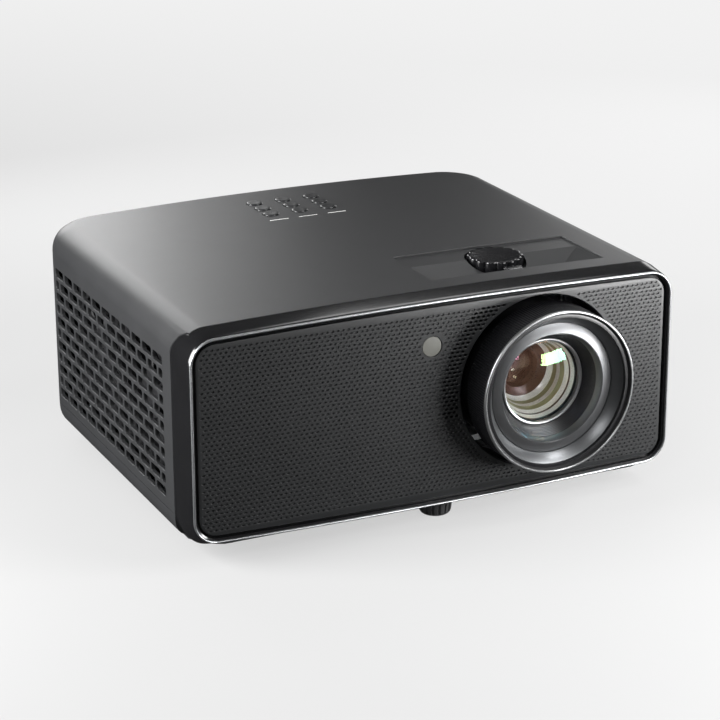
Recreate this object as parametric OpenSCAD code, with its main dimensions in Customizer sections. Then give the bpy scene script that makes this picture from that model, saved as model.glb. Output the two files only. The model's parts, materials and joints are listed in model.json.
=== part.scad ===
// Home projector: laser light source, manual zoom and focus, vertical lens shift.
// +X is to the right when facing the lens side, the front faces -Y, +Z is up.
// The origin is on the resting surface, under the middle of the overall box.

/* [Body] */
// Overall width of the housing
body_w = 337; // [325:1:404]
// Depth from the front rim to the rear wall
body_d = 285; // [283:1:342]
// Height of the front face at its middle
face_h = 132; // [130:1:158]
// How far the bottom tray hangs below the front face
keel_h = 8; // [6:0.5:9.5]
// Wall thickness of the housings
wall = 2.6; // [2:0.1:3.2]
// Corner radius of the front face
face_r = 17; // [11:0.5:18]
// How far the long edges of the front face arch outward
face_sag = 2.2; // [0.5:0.1:2.5]
// Radius of the rear corners seen from above
rear_r = 34; // [26:1:42]
// Depth of the glossy front bezel
bezel_d = 31; // [27:0.5:36]
// How far the top of the bezel falls toward the rim
bezel_fall = 2; // [1:0.1:3]

/* [Side vents] */
// Slots in a full row
vent_cols = 11; // [8:1:11]
// Rows of slots
vent_rows = 11; // [5:2:11]
// Distance between slot centres along a row
vent_pitch = 18.7; // [16:0.1:18.8]
// Distance between rows
vent_row_pitch = 8.67; // [7:0.01:8.8]
// Width of the bars between slots
vent_bar = 2.6; // [1.8:0.1:3.2]

/* [Lens] */
// Distance of the lens axis from the middle of the body
lens_x = 72.4; // [60:0.1:80]
// Height of the lens axis above the bottom of the front face
lens_up = 67; // [62:0.1:70]
// How far the lens stands out of the front rim
lens_out = 24; // [20:0.5:30]
// Outer radius of the lens front
lens_r = 54; // [45:0.5:55]
// Ribs around the focus ring
focus_ribs = 200; // [120:10:220]
// Width of the rings around the front glass
lens_border = 27; // [26:0.5:30]
// Travel of the lens shift each way
shift_travel = 2.5; // [1.5:0.1:2.5]
// Radial gap of the running fits
run_gap = 0.1; // [0.05:0.01:0.1]

/* [Controls] */
// Half the length of the recess in the top
recess_half = 63; // [56:0.5:66]
// Distance of the dial axis from the front rim
dial_y = 65; // [64:0.5:67]
// Radius of the shift dial over its lobes
dial_r = 18.5; // [15.4:0.1:18.7]
// Number of lobes on the dial
dial_lobes = 14; // [10:1:18]
// Width of the zoom lever's tab
tab_w = 13; // [9:0.5:15]
// Radius of a keypad button
key_r = 5.4; // [4.5:0.1:6]
// Distance between keypad columns
key_dx = 21.7; // [18:0.1:24]
// Distance between keypad rows
key_dy = 14.6; // [14:0.1:16]
// Travel of a keypad button
key_travel = 0.8; // [0.5:0.1:1]

/* [Feet and mounting] */
// Gap between the tray and the resting surface
foot_gap = 13; // [11:0.5:16]
// Radius of a foot pad
foot_r = 10.5; // [8:0.5:12]
// Ceiling mount screw spacing across the body
mount_dx = 220; // [180:1:230]
// Ceiling mount screw spacing along the body
mount_dy = 120; // [100:1:125]
// Radius of the threaded ceiling mount holes
mount_hole_r = 1.65; // [1.6:0.05:2.1]

/* [Hidden] */

// Frame of reference
seam = 0.2;                          // visible gap between outer covers
rim_y = (lens_out - body_d) / 2;     // front rim, with the box centred on the origin
z_keel = foot_gap;
z_face = z_keel + keel_h;
face_top = z_face + face_h;
z_top = face_top + bezel_fall;
z_split = z_face + 7;                // joint line of the two housings at the sides
lens_z = z_face + lens_up;
half_w = body_w / 2;
in_w = half_w - wall;                // inner face of a side wall

// Front face layers
trim_w = 1.4;
trim_in = 0.6;
trim_t = 1.5;
bezel_wall = 3.2;
bezel_drop = 6;                      // how far the underside falls toward the seam
tongue_y = 17;                       // the seam on the top, ahead of the seam on the sides
panel_in = 5;                        // panel edge from the outline
panel_y = 2.5;                       // panel face behind the rim
panel_t = 2.5;
ledge_t = 2.5;
ledge_in = 10;

// Lens, measured along the axis from the front rim
glass_r = lens_r - lens_border;
focus_ring_r = lens_r - 0.4;
focus_rib_h = 0.55;
barrel_r = lens_r - 5.1;
barrel_in = barrel_r - 2.4;
lens_hole_r = lens_r + 3.3;
rim_lip = 7;                         // length of the smooth front lip
focus_front = rim_lip - lens_out;    // where the ribs begin
focus_back = 1.5;
ring_y = 11 - lens_out;              // flat dark ring behind the cone
baffle_r = glass_r + 9.5;
baffle_y = ring_y + 13.5;            // back of the baffle's cone
retainer_r = glass_r + 2;
cell_r = barrel_r - 8.9;             // barrel behind the shroud
cell_y = 35;
carriage_y = 62;
carriage_t = 6;
tail_r = cell_r - 12;
tail_y = 86;
zoom_y = 36;
zoom_len = 10;
zoom_swing = 10;                     // lever travel each way, degrees
rod_dx = 50;
rod_r = 3;
rod_y = carriage_y + carriage_t / 2;
frame_low = z_face + 9;
dial_t = 9;
frame_bar = 4;
frame_top = z_top - dial_t - frame_bar - 0.5;

// Recess in the top
recess_front = bezel_d + 2;
recess_back = 88;
shelf_y = 67;
shelf_drop = 1.2;
recess_drop = 12;
floor_left = recess_half - 16;       // half-widths of the floor at its front edge
floor_right = recess_half - 40;
dial_gap = 2;
dial_z = z_top - dial_t;
screw_r = 4;
arm_w = 6;
arm_t = 4.5;
tab_t = 5.5;
tab_h = 5;
tab_z = z_top - 1.5 - tab_h;
slot_half = tab_w / 2 + (tab_z + tab_h - lens_z) * sin(zoom_swing) + 1;

// Keypad
key_y = body_d - 53.5;
key_hole = key_r + 0.3;
key_proud = 0.9;
key_stem = 6;
bar_y = key_y - 29.5;
bar_l = 14;
bar_w = 1.2;
board_t = 1.6;
key_board_z = z_top - 12;

// Inside
deck = z_keel + wall;                // inner floor of the tray
side_post_x = half_w - 22;
side_post_y = [48, body_d - 35];
fan_size = 80;
fan_t = 25;
fan_gap = 0.6;
fan_z = z_face + face_h / 2 - 2;
fan_left_x = -in_w + 6;
fan_ys = [96, 186];
fan_right_x = in_w - 6 - fan_t;
fan_exhaust_y = 160;
board_z = deck + 10;
io_y = body_d - 12;                  // face of the rear connector panel
io_x0 = 46.5 - half_w;
io_x1 = half_w - 36.5;
io_h = 62;
inlet_x = io_x0 + 24;
foot_stud_r = 4;
foot_travel = 18;
foot_stud_top = z_keel + foot_travel + 4;
foot_front = [9, 25];
foot_rear_x = half_w - 30.5;
foot_rear_y = body_d - 57;
mount_y = 140;
nub_x = half_w - 30.5;
nub_y = 15;
nub_r = 3;

function arc(c, r, a0, a1, n) =
    [for (i = [0:n]) let (a = a0 + (a1 - a0) * i / n) [c[0] + r * cos(a), c[1] + r * sin(a)]];
// Front outline: straight sides, arched long edges, round corners
function face_points(h, inset) =
    let (x = half_w - face_r, r = max(face_r - inset, 1), n = 8)
    concat(
        arc([x, h - face_sag - face_r], r, 0, 90, n),
        [for (i = [1:9]) let (t = 1 - i / 5) [x * t, h - inset - face_sag * t * t]],
        arc([-x, h - face_sag - face_r], r, 90, 180, n),
        arc([-x, face_sag + face_r], r, 180, 270, n),
        [for (i = [1:9]) let (t = i / 5 - 1) [x * t, inset + face_sag * t * t]],
        arc([x, face_sag + face_r], r, 270, 360, n));
// Plan outline of the housings, from a given front line
function plan_points(front, inset) =
    let (x = half_w - rear_r, y = body_d - rear_r - 3, r = rear_r - inset, n = 12)
    concat([[-half_w + inset, front], [half_w - inset, front]],
        arc([x, y], r, 0, 90, n),
        [for (i = [1:7]) let (t = 1 - i / 4) [x * t, body_d - inset - 3 * t * t]],
        arc([-x, y], r, 90, 180, n));
// One slot of the brick pattern, with its corners cut off
function slot_points(y, z, l, h, r) = [
    [y, z + r], [y + r, z], [y + l - r, z], [y + l, z + r],
    [y + l, z + h - r], [y + l - r, z + h], [y + r, z + h], [y, z + h - r]];

module at_lens() { translate([lens_x, rim_y, lens_z]) children(); }
// Turns a shape drawn around Z so that its axis runs from front to back
module along_y() { rotate([-90, 0, 0]) children(); }
module face_prism(h, inset, y0, y1) {
    translate([0, rim_y + y1, z_face]) rotate([90, 0, 0]) linear_extrude(y1 - y0)
        polygon(face_points(h, inset));
}
module plan_slab(front, inset, z0, z1) {
    translate([0, rim_y, z0]) linear_extrude(z1 - z0) polygon(plan_points(front, inset));
}
module ring(r_out, r_in, y0, y1) {
    translate([0, y0, 0]) along_y() difference() {
        cylinder(r = r_out, h = y1 - y0, $fn = 96);
        translate([0, 0, -1]) cylinder(r = r_in, h = y1 - y0 + 2, $fn = 96);
    }
}
module turned(points) { along_y() rotate_extrude($fn = 96) polygon(points); }
module post(x, y, z0, z1, r) { translate([x, rim_y + y, z0]) cylinder(r = r, h = z1 - z0, $fn = 32); }
module block(x0, x1, y0, y1, z0, z1) {
    translate([x0, rim_y + y0, z0]) cube([x1 - x0, y1 - y0, z1 - z0]);
}

// ---- Housings ----
module rear_edge_prism(inset) {
    r = 12;
    y = body_d - inset;
    pts = concat([[-5, z_keel - 5], [y, z_keel - 5]],
        arc([body_d - r, z_top - r], r - inset, 0, 90, 8), [[-5, z_top - inset]]);
    translate([-half_w, rim_y, 0]) rotate([90, 0, 90]) linear_extrude(body_w) polygon(pts);
}
module housing_form(front, inset) {
    intersection() {
        plan_slab(front, inset, z_split - 10, z_top + 1);
        face_prism(z_top - z_face, inset, front - 1, body_d + 1);
        rear_edge_prism(inset);
    }
}
// Where the top cover reaches forward over the bezel, between the shoulders
module seam_prism(gap) {
    line = [[bezel_d, z_top - 20], [bezel_d - 2.5, z_top - 15], [bezel_d - 6.5, z_top - 9],
        [bezel_d - 11, z_top - 6], [tongue_y, z_top - 5.6]];
    above = [[tongue_y, z_top + 5], [bezel_d + 5, z_top + 5], [bezel_d + 5, z_top - 20]];
    translate([-half_w - 1, rim_y + gap, gap]) rotate([90, 0, 90])
        linear_extrude(body_w + 2) polygon(concat(line, above));
}
// The bezel's outside: rounded at the front, deeper underneath toward the seam
module bezel_form() {
    zr = z_top - z_face;
    hull() {
        face_prism(face_h, 1.6, 0, 0.1);
        face_prism(face_h, 0, 3, 3.1);
        translate([0, 0, -bezel_drop]) face_prism(zr + bezel_drop, 0, tongue_y, bezel_d);
    }
}
// The pocket in the top: a shallow shelf, then a floor that falls toward the front
module recess_form(grow) {
    zt = z_top + 3;
    h = recess_half + grow;
    left = floor_left + grow;
    right = floor_right + grow;
    front = recess_front - grow;
    translate([lens_x, rim_y, 0]) {
        translate([-h, shelf_y - 1, z_top - shelf_drop - grow])
            cube([2 * h, recess_back - shelf_y + 1 + grow, 3 + shelf_drop + grow]);
        polyhedron(
            points = [[-h, shelf_y, zt], [h, shelf_y, zt], [h, front, zt], [-h, front, zt],
                [-h, shelf_y, z_top - shelf_drop - grow], [h, shelf_y, z_top - shelf_drop - grow],
                [h, front, z_top - shelf_drop - grow], [-h, front, z_top - shelf_drop - grow],
                [right, front, z_top - recess_drop - grow], [-left, front, z_top - recess_drop - grow]],
            faces = [[0, 1, 2, 3], [0, 4, 5, 1], [1, 5, 6, 2], [3, 7, 4, 0], [2, 6, 8, 9, 7, 3],
                [5, 8, 6], [4, 7, 9], [4, 9, 8, 5]]);
    }
}
function vent_start() = bezel_d + 15;
module vent_plate(side) {
    slot_h = vent_row_pitch - vent_bar;
    len = vent_cols * vent_pitch;
    hgt = vent_rows * vent_row_pitch;
    edge = 4;
    y0 = vent_start();
    z0 = fan_z - hgt / 2;
    slots = [for (i = [0:vent_rows - 1]) for (j = [0:vent_cols - (i % 2 == 0 ? 1 : 0)])
        let (shift = i % 2 == 0 ? 0 : -vent_pitch / 2,
            a = max(y0 + shift + j * vent_pitch, y0),
            b = min(y0 + shift + (j + 1) * vent_pitch, y0 + len) - vent_bar)
        slot_points(a, z0 + i * vent_row_pitch, b - a, slot_h, 1.6)];
    frame_pts = [[y0 - edge, z0 - edge], [y0 + len + edge - vent_bar, z0 - edge],
        [y0 + len + edge - vent_bar, z0 + hgt + edge - vent_bar], [y0 - edge, z0 + hgt + edge - vent_bar]];
    pts = concat(frame_pts, [for (s = slots) for (p = s) p]);
    paths = concat([[0, 1, 2, 3]], [for (k = [0:len(slots) - 1]) [for (m = [0:7]) 4 + 8 * k + m]]);
    translate([side > 0 ? half_w - wall : -half_w, rim_y, 0]) rotate([90, 0, 90])
        linear_extrude(wall) polygon(pts, paths);
}
module vent_window(side) {
    len = vent_cols * vent_pitch - vent_bar;
    hgt = vent_rows * vent_row_pitch - vent_bar;
    y0 = vent_start();
    z0 = fan_z - (hgt + vent_bar) / 2;
    block(side * half_w - 9, side * half_w + 9, y0 - 4, y0 + len + 4, z0 - 4, z0 + hgt + 4);
}
module key_positions() {
    for (i = [-1:1]) for (j = [-1:1]) translate([i * key_dx, rim_y + key_y + j * key_dy, 0]) children();
}
module top_housing() {
    color("#232426") difference() {
        union() {
            difference() {
                union() {
                    housing_form(bezel_d + seam, 0);
                    intersection() {
                        housing_form(tongue_y, 0);
                        seam_prism(seam);
                    }
                }
                housing_form(tongue_y - 5, wall);
                for (s = [-1, 1]) vent_window(s);
            }
            for (s = [-1, 1]) vent_plate(s);
            intersection() {
                recess_form(wall);
                housing_form(bezel_d + seam, 0);
            }
            for (s = [-1, 1]) for (y = side_post_y) difference() {
                union() {
                    post(s * side_post_x, y, z_split, z_split + 12, 5.5);
                    block(s > 0 ? side_post_x : -in_w - 0.5, s > 0 ? in_w + 0.5 : -side_post_x,
                        y - 1.5, y + 1.5, z_split, z_split + 8);
                }
                post(s * side_post_x, y, z_split - 1, z_split + 10, 1.6);
            }
        }
        block(-half_w - 1, half_w + 1, bezel_d - 20, body_d + 5, z_split - 30, z_split);
        recess_form(0);
        translate([lens_x, rim_y + dial_y, z_top - 30]) cylinder(r = dial_r + dial_gap, h = 40, $fn = 64);
        block(lens_x - slot_half, lens_x + slot_half, zoom_y + 0.5, zoom_y + zoom_len - 0.5,
            z_top - 30, z_top + 10);
        key_positions() translate([0, 0, z_top - 10]) cylinder(r = key_hole, h = 20, $fn = 32);
        for (i = [-1:1]) block(i * key_dx - bar_l / 2 - 0.1, i * key_dx + bar_l / 2 + 0.1,
            bar_y - bar_w / 2 - 0.1, bar_y + bar_w / 2 + 0.1, z_top - 8, z_top + 8);
        block(io_x0, io_x1, io_y - 20, body_d + 5, z_split - 5, z_split + io_h);
    }
}
module tray_shell(z_hi, front, bottom_in, top_in, hollow) {
    hull() {
        plan_slab(front[0], bottom_in, z_keel + hollow, z_keel + hollow + 0.1);
        plan_slab(front[1], top_in, z_hi - 0.1, z_hi);
    }
}
// The part of the tray under the bezel, as a thin slab with cut-off front corners
module nose_slab(z, side, front) {
    x = half_w - side;
    back = bezel_d + 6;
    translate([0, rim_y, z]) linear_extrude(0.1)
        polygon([[-x, back], [-x, front + 17], [-x + 9, front + 5], [-x + 17, front],
            [x - 17, front], [x - 9, front + 5], [x, front + 17], [x, back]]);
}
module bottom_housing() {
    low = z_face - 0.3;
    color("#1a1b1c") difference() {
        union() {
            difference() {
                tray_shell(z_split, [bezel_d + 2, bezel_d + seam], 12, 0, 0);
                tray_shell(z_split + 0.1, [bezel_d + 2, bezel_d + seam - 2], 12 + wall, wall, wall);
            }
            difference() {
                hull() {
                    nose_slab(z_keel, 12, 11);
                    nose_slab(low - 0.1, 5, 6);
                }
                translate([0, 0, -0.3]) bezel_form();
                block(-half_w, half_w, bezel_d + seam, bezel_d + 40, z_keel + wall, z_split + 1);
            }
            for (sx = [-1, 1]) for (sy = [-1, 1])
                post(sx * mount_dx / 2, mount_y + sy * mount_dy / 2, z_keel + 1, deck + 9, 5);
            for (s = [-1, 1]) for (y = side_post_y) post(s * side_post_x, y, z_keel + 1, z_split, 5.5);
            for (p = foot_places()) post(p[0], p[1], z_keel, foot_stud_top + 2, foot_stud_r + 3.4);
        }
        for (sx = [-1, 1]) for (sy = [-1, 1])
            post(sx * mount_dx / 2, mount_y + sy * mount_dy / 2, z_keel - 1, deck + 7, mount_hole_r);
        for (s = [-1, 1]) for (y = side_post_y) {
            post(s * side_post_x, y, z_keel - 1, z_split + 1, 1.7);
            post(s * side_post_x, y, z_keel - 1, z_split - 5, 3.6);
        }
        for (p = foot_places()) post(p[0], p[1], z_keel - 1, foot_stud_top + 3, foot_stud_r + run_gap);
        for (s = [-1, 1]) for (i = [-5:5])
            block(s * 60 + i * 5 - 1.2, s * 60 + i * 5 + 1.2, 80, 140, z_keel - 1, deck + 1);
    }
}
module front_bezel() {
    color("#0c0d0e") difference() {
        union() {
            difference() {
                bezel_form();
                face_prism(face_h, bezel_wall, -1, bezel_d + 1);
            }
            difference() {
                face_prism(face_h, bezel_wall - 0.5, panel_y + panel_t, panel_y + panel_t + ledge_t);
                face_prism(face_h, ledge_in, 0, bezel_d);
            }
        }
        difference() {
            face_prism(face_h, trim_in, -1, trim_t);
            face_prism(face_h, trim_in + trim_w, -2, trim_t + 1);
        }
        at_lens() translate([0, panel_y, 0]) along_y()
            cylinder(r = lens_hole_r + 2.3, h = bezel_d, $fn = 96);
        seam_prism(0);
        post(foot_front[0], foot_front[1], z_keel - 1, z_face + 8, foot_stud_r + 3.9);
    }
}
module rim_trim() {
    color("#8d8f92") difference() {
        face_prism(face_h, trim_in, 0, trim_t);
        face_prism(face_h, trim_in + trim_w, -1, trim_t + 1);
    }
}
ir_x = -5.3;
ir_up = 101.3;
ir_r = 6.7;
module front_panel() {
    color("#2b2d2f") difference() {
        face_prism(face_h, panel_in, panel_y, panel_y + panel_t);
        at_lens() translate([0, -1, 0]) along_y() cylinder(r = lens_hole_r, h = 20, $fn = 96);
        translate([ir_x, rim_y - 1, z_face + ir_up]) along_y() cylinder(r = ir_r + 0.1, h = 20, $fn = 48);
    }
}
module ir_window() {
    color("#77776f") translate([ir_x, rim_y + panel_y + 0.3, z_face + ir_up]) along_y() union() {
        cylinder(r = ir_r, h = panel_t - 0.3, $fn = 48);
        translate([0, 0, panel_t - 0.3]) cylinder(r = ir_r + 2, h = 1.5, $fn = 48);
    }
}
module lens_shroud() {
    y0 = panel_y + panel_t;
    color("#111213") at_lens() {
        ring(lens_hole_r + 2, lens_hole_r, y0, y0 + 3);
        difference() {
            ring(lens_hole_r + 2, lens_hole_r, y0 + 3, bezel_d - 1);
            translate([-lens_hole_r, y0 + 3.1, cell_r + 6]) cube([2 * lens_hole_r, 40, 30]);
            translate([-lens_hole_r, y0 + 3.1, -cell_r - 40]) cube([2 * lens_hole_r, 40, 30]);
        }
    }
}

// ---- Lens and its shift mechanism ----
module lens_frame() {
    color("#6d7074") difference() {
        union() {
            for (s = [-1, 1]) block(lens_x + s * (rod_dx + 9) - 3, lens_x + s * (rod_dx + 9) + 3,
                rod_y - 7, rod_y + 7, deck, frame_top + frame_bar);
            for (z = [frame_low, frame_top])
                block(lens_x - rod_dx - 9, lens_x + rod_dx + 9, rod_y - 7, rod_y + 7, z, z + frame_bar);
            block(lens_x - rod_dx - 20, lens_x + rod_dx + 20, rod_y - 7, rod_y + 7, deck, deck + 3);
        }
        for (s = [-1, 1]) post(lens_x + s * rod_dx, rod_y, frame_low - 1, frame_top + 9, rod_r);
        post(lens_x, dial_y, frame_top - 1, frame_top + 9, screw_r + run_gap);
    }
}
module shift_guide_rods() {
    color("#c7c9cc") for (s = [-1, 1])
        post(lens_x + s * rod_dx, rod_y, frame_low, frame_top + frame_bar, rod_r);
}
module lens_carriage() {
    nut_top = frame_top - shift_travel - 0.5;
    color("#3a3d40") difference() {
        union() {
            intersection() {
                block(lens_x - rod_dx - 1, lens_x + rod_dx + 1, carriage_y, carriage_y + carriage_t,
                    lens_z - 46, lens_z + 46);
                at_lens() translate([0, carriage_y, 0]) along_y()
                    cylinder(r = rod_dx + 6, h = carriage_t, $fn = 96);
            }
            for (s = [-1, 1]) post(lens_x + s * rod_dx, rod_y, lens_z - 16, lens_z + 16, rod_r + 2.6);
            post(lens_x, dial_y, lens_z + cell_r + 0.5, nut_top, 7);
        }
        at_lens() translate([0, carriage_y - 10, 0]) along_y() cylinder(r = tail_r, h = 30, $fn = 96);
        for (s = [-1, 1]) post(lens_x + s * rod_dx, rod_y, lens_z - 60, lens_z + 60, rod_r + run_gap);
        post(lens_x, dial_y, lens_z + cell_r + 3, nut_top + 1, screw_r + run_gap);
    }
}
module lens_barrel() {
    color("#17181a") at_lens() union() {
        ring(barrel_r, barrel_in, ring_y + 2.6, cell_y);
        ring(cell_r, cell_r - 4, cell_y - 4, carriage_y);
        difference() {
            ring(barrel_r, cell_r - 4, cell_y - 4, cell_y);
            ring(barrel_r + 1, barrel_r, cell_y - 5, cell_y + 1);
        }
        ring(cell_r, tail_r - 3, carriage_y - 4, carriage_y);
        ring(tail_r, tail_r - 3, carriage_y, tail_y);
    }
}
module lens_front_ring() {
    rim = lens_r - 10.8;
    color("#2a2b2d") at_lens() turned([[baffle_r, ring_y], [rim, ring_y], [rim, ring_y + 2.6],
        [barrel_in, ring_y + 2.6], [barrel_in, ring_y + 5], [baffle_r, ring_y + 5]]);
}
module lens_baffle() {
    color("#0a0a0b") at_lens() turned([[baffle_r, ring_y + 0.4], [baffle_r - 0.6, ring_y],
        [retainer_r + 0.4, baffle_y - 2], [retainer_r, baffle_y - 2], [retainer_r, baffle_y + 3],
        [baffle_r, baffle_y + 3]]);
}
module lens_retainer() {
    color("#b9bcbf") at_lens() turned([[glass_r, baffle_y - 1.2], [glass_r + 0.8, baffle_y - 2],
        [retainer_r, baffle_y - 2], [retainer_r, baffle_y + 3], [glass_r, baffle_y + 3]]);
}
// A lens element: domed front of given rise, flat rear
function dome(r, y, rise, n) = [for (i = [0:n]) let (t = i / n) [r * t, y - rise * (1 - t * t)]];
module front_lens() {
    color([0.75, 0.85, 0.82, 0.4]) at_lens()
        turned(concat(dome(glass_r, baffle_y + 3, 5, 12), [[baffle_r, baffle_y + 3],
            [baffle_r, baffle_y + 8], [0, baffle_y + 8]]));
}
module zoom_lens() {
    color([0.7, 0.75, 0.7, 0.4]) at_lens()
        turned(concat(dome(cell_r - 16, 34, 4, 12), [[cell_r - 4, 34], [cell_r - 4, 38], [0, 38]]));
}
module rear_lens() {
    color([0.7, 0.6, 0.5, 0.5]) at_lens()
        turned(concat(dome(tail_r - 12, 70, 3, 12), [[tail_r - 3, 70], [tail_r - 3, 76], [0, 76]]));
}
module focus_ring() {
    n = focus_ribs * 2;
    len = focus_back - focus_front;
    color("#141516") at_lens() translate([0, focus_front, 0]) along_y() difference() {
        linear_extrude(len) polygon([for (i = [0:n - 1]) let (a = 360 * i / n,
            r = focus_ring_r - (i % 2) * focus_rib_h) [r * cos(a), r * sin(a)]]);
        translate([0, 0, -1]) cylinder(r = barrel_r + run_gap, h = len + 2, $fn = 96);
    }
}
module lens_front_rim() {
    y = -lens_out;
    cone = lens_r - 10.4;
    color("#97999c") at_lens() turned([[lens_r, focus_front], [lens_r, y + 0.7], [lens_r - 0.6, y],
        [lens_r - 1.3, y], [lens_r - 4, y + 4.8], [lens_r - 4.6, y + 4.8], [cone, y + 10.6],
        [cone, y + 12.8], [cone + 2, y + 12.8], [barrel_r, y + 10], [barrel_r, focus_front]]);
}
module zoom_ring() {
    color("#101112") at_lens() {
        difference() {
            union() {
                ring(cell_r + 3.5, cell_r + 1, zoom_y, zoom_y + zoom_len);
                translate([-arm_w / 2, zoom_y + 1.5, cell_r + 2])
                    cube([arm_w, arm_t, tab_z - lens_z - cell_r - 2]);
            }
            translate([0, zoom_y - 1, 0]) along_y()
                cylinder(r = cell_r + run_gap, h = zoom_len + 2, $fn = 96);
        }
        ring(cell_r + 2, cell_r + run_gap, zoom_y, zoom_y + zoom_len);
        translate([-tab_w / 2, zoom_y + 1, tab_z - lens_z]) difference() {
            cube([tab_w, tab_t, tab_h]);
            for (x = [0, tab_w]) translate([x, -1, tab_h]) rotate([0, 45, 0]) translate([-1, 0, -1])
                cube([2, tab_t + 2, 2]);
        }
    }
}
module shift_dial() {
    n = dial_lobes * 10;
    color("#0d0e0f") translate([lens_x, rim_y + dial_y, dial_z]) difference() {
        linear_extrude(dial_t) polygon([for (i = [0:n - 1]) let (a = 360 * i / n,
            r = dial_r - 0.9 + 0.9 * cos(a * dial_lobes)) [r * cos(a), r * sin(a)]]);
        translate([0, 0, -1]) cylinder(r = screw_r, h = dial_t - 2, $fn = 48);
    }
}
module shift_screw() {
    color("#a9abae")
        post(lens_x, dial_y, lens_z + cell_r + 3.5 + shift_travel, dial_z + dial_t - 3, screw_r);
}

// ---- Keypad ----
module keypad_board() {
    color("#1f6a3a") difference() {
        union() {
            block(-key_dx - 12, key_dx + 12, bar_y - 8, key_y + key_dy + 9,
                key_board_z, key_board_z + board_t);
            key_positions() translate([-3, -3, key_board_z + board_t]) cube([6, 6, 1.5]);
        }
        for (s = [-1, 1])
            post(s * (key_dx + 9.5), key_y + key_dy + 6.5, key_board_z - 1, key_board_z + 4, 1.2);
    }
}
module key(i, j) {
    z0 = key_board_z + board_t + 1.5 + 0.2 + key_travel;
    under = z_top - wall - 1.2;
    color("#26272a") translate([i * key_dx, rim_y + key_y + j * key_dy, 0]) {
        translate([0, 0, z0]) cylinder(r = 2, h = under - 1.2 - z0, $fn = 24);
        translate([0, 0, under - 1.2]) cylinder(r = key_r + 1, h = 1.2, $fn = 48);
        translate([0, 0, under]) cylinder(r = key_r, h = z_top + key_proud - 0.6 - under, $fn = 48);
        translate([0, 0, z_top + key_proud - 0.6]) cylinder(r1 = key_r, r2 = key_r - 0.8, h = 0.6, $fn = 48);
    }
}
module key_menu() { key(-1, 1); }
module key_power() { key(0, 1); }
module key_source() { key(1, 1); }
module key_left() { key(-1, 0); }
module key_enter() { key(0, 0); }
module key_right() { key(1, 0); }
module key_back() { key(-1, -1); }
module key_down() { key(0, -1); }
module key_info() { key(1, -1); }
module indicator_bars() {
    color("#e8e8e6") for (i = [-1:1]) block(i * key_dx - bar_l / 2, i * key_dx + bar_l / 2,
        bar_y - bar_w / 2, bar_y + bar_w / 2, key_board_z + board_t + 0.3, z_top - 0.1);
}

// ---- Optical engine and light source ----
eng_x0 = lens_x - 46.4;
eng_x1 = lens_x + 47.6;
eng_y0 = 94;
eng_y1 = 184;
eng_z0 = lens_z - 42;
eng_z1 = lens_z + 40;
eng_wall = 3;
pw_x = eng_x0 - 44;
pw_y = 138;
module engine_housing() {
    color("#8a8d90") difference() {
        union() {
            block(eng_x0, eng_x1, eng_y0, eng_y1, eng_z0, eng_z1);
            for (x = [eng_x0 + 8, eng_x1 - 8]) for (y = [eng_y0 + 8, eng_y1 - 8])
                post(x, y, deck, eng_z0 + 1, 5);
        }
        block(eng_x0 + eng_wall, eng_x1 - eng_wall, eng_y0 + eng_wall, eng_y1 - eng_wall,
            eng_z0 + eng_wall, eng_z1 - eng_wall);
        at_lens() translate([0, eng_y0 - 1, 0]) along_y() cylinder(r = 26, h = eng_wall + 2, $fn = 64);
        translate([eng_x0 - 1, rim_y + pw_y, lens_z]) rotate([0, 90, 0])
            cylinder(r = 16, h = eng_wall + 2, $fn = 64);
        block(lens_x - 16, lens_x + 16, eng_y1 - eng_wall - 1, eng_y1 + 1, lens_z - 12, lens_z + 12);
    }
}
module prism_block() {
    color([0.8, 0.9, 0.95, 0.5]) {
        block(lens_x - 20, lens_x + 20, eng_y1 - 48, eng_y1 - 8, lens_z - 20, lens_z + 20);
        block(lens_x - 24, lens_x + 24, eng_y1 - 52, eng_y1 - 6, eng_z0 + eng_wall, lens_z - 20);
    }
}
module dmd_board() {
    color("#1d5c38") {
        block(lens_x - 38, lens_x + 38, eng_y1 + 1, eng_y1 + 2.6, lens_z - 34, lens_z + 34);
        block(lens_x - 14, lens_x + 14, eng_y1 - 2, eng_y1 + 1, lens_z - 10, lens_z + 10);
    }
}
module dmd_heatsink() {
    y = eng_y1 + 2.6;
    color("#9fa2a5") union() {
        block(lens_x - 26, lens_x + 26, y, y + 4, lens_z - 26, lens_z + 26);
        for (i = [0:8])
            block(lens_x - 25 + i * 6, lens_x - 23.4 + i * 6, y + 3, y + 20, lens_z - 26, lens_z + 26);
    }
}
module phosphor_housing() {
    color("#7d8083") difference() {
        union() {
            block(pw_x - 18, eng_x0 - 1, pw_y - 38, pw_y + 38, lens_z - 40, lens_z + 36);
            for (s = [-1, 1]) post(pw_x, pw_y + s * 28, deck, lens_z - 39, 5);
        }
        block(pw_x - 15, eng_x0 - 4, pw_y - 35, pw_y + 35, lens_z - 37, lens_z + 33);
        translate([eng_x0 - 6, rim_y + pw_y, lens_z]) rotate([0, 90, 0]) cylinder(r = 16, h = 10, $fn = 64);
    }
}
module phosphor_motor() {
    color("#3b3d40") translate([pw_x - 15, rim_y + pw_y, lens_z - 8]) rotate([0, 90, 0]) {
        cylinder(r = 12, h = 8, $fn = 48);
        cylinder(r = 2, h = 16, $fn = 32);
    }
}
module phosphor_wheel() {
    color("#d9c66a") translate([pw_x - 6, rim_y + pw_y, lens_z - 8]) rotate([0, 90, 0]) difference() {
        union() {
            cylinder(r = 10, h = 5, $fn = 48);
            translate([0, 0, 1.5]) cylinder(r = 26, h = 1.5, $fn = 96);
        }
        translate([0, 0, -1]) cylinder(r = 2 + run_gap, h = 8, $fn = 32);
    }
}
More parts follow.
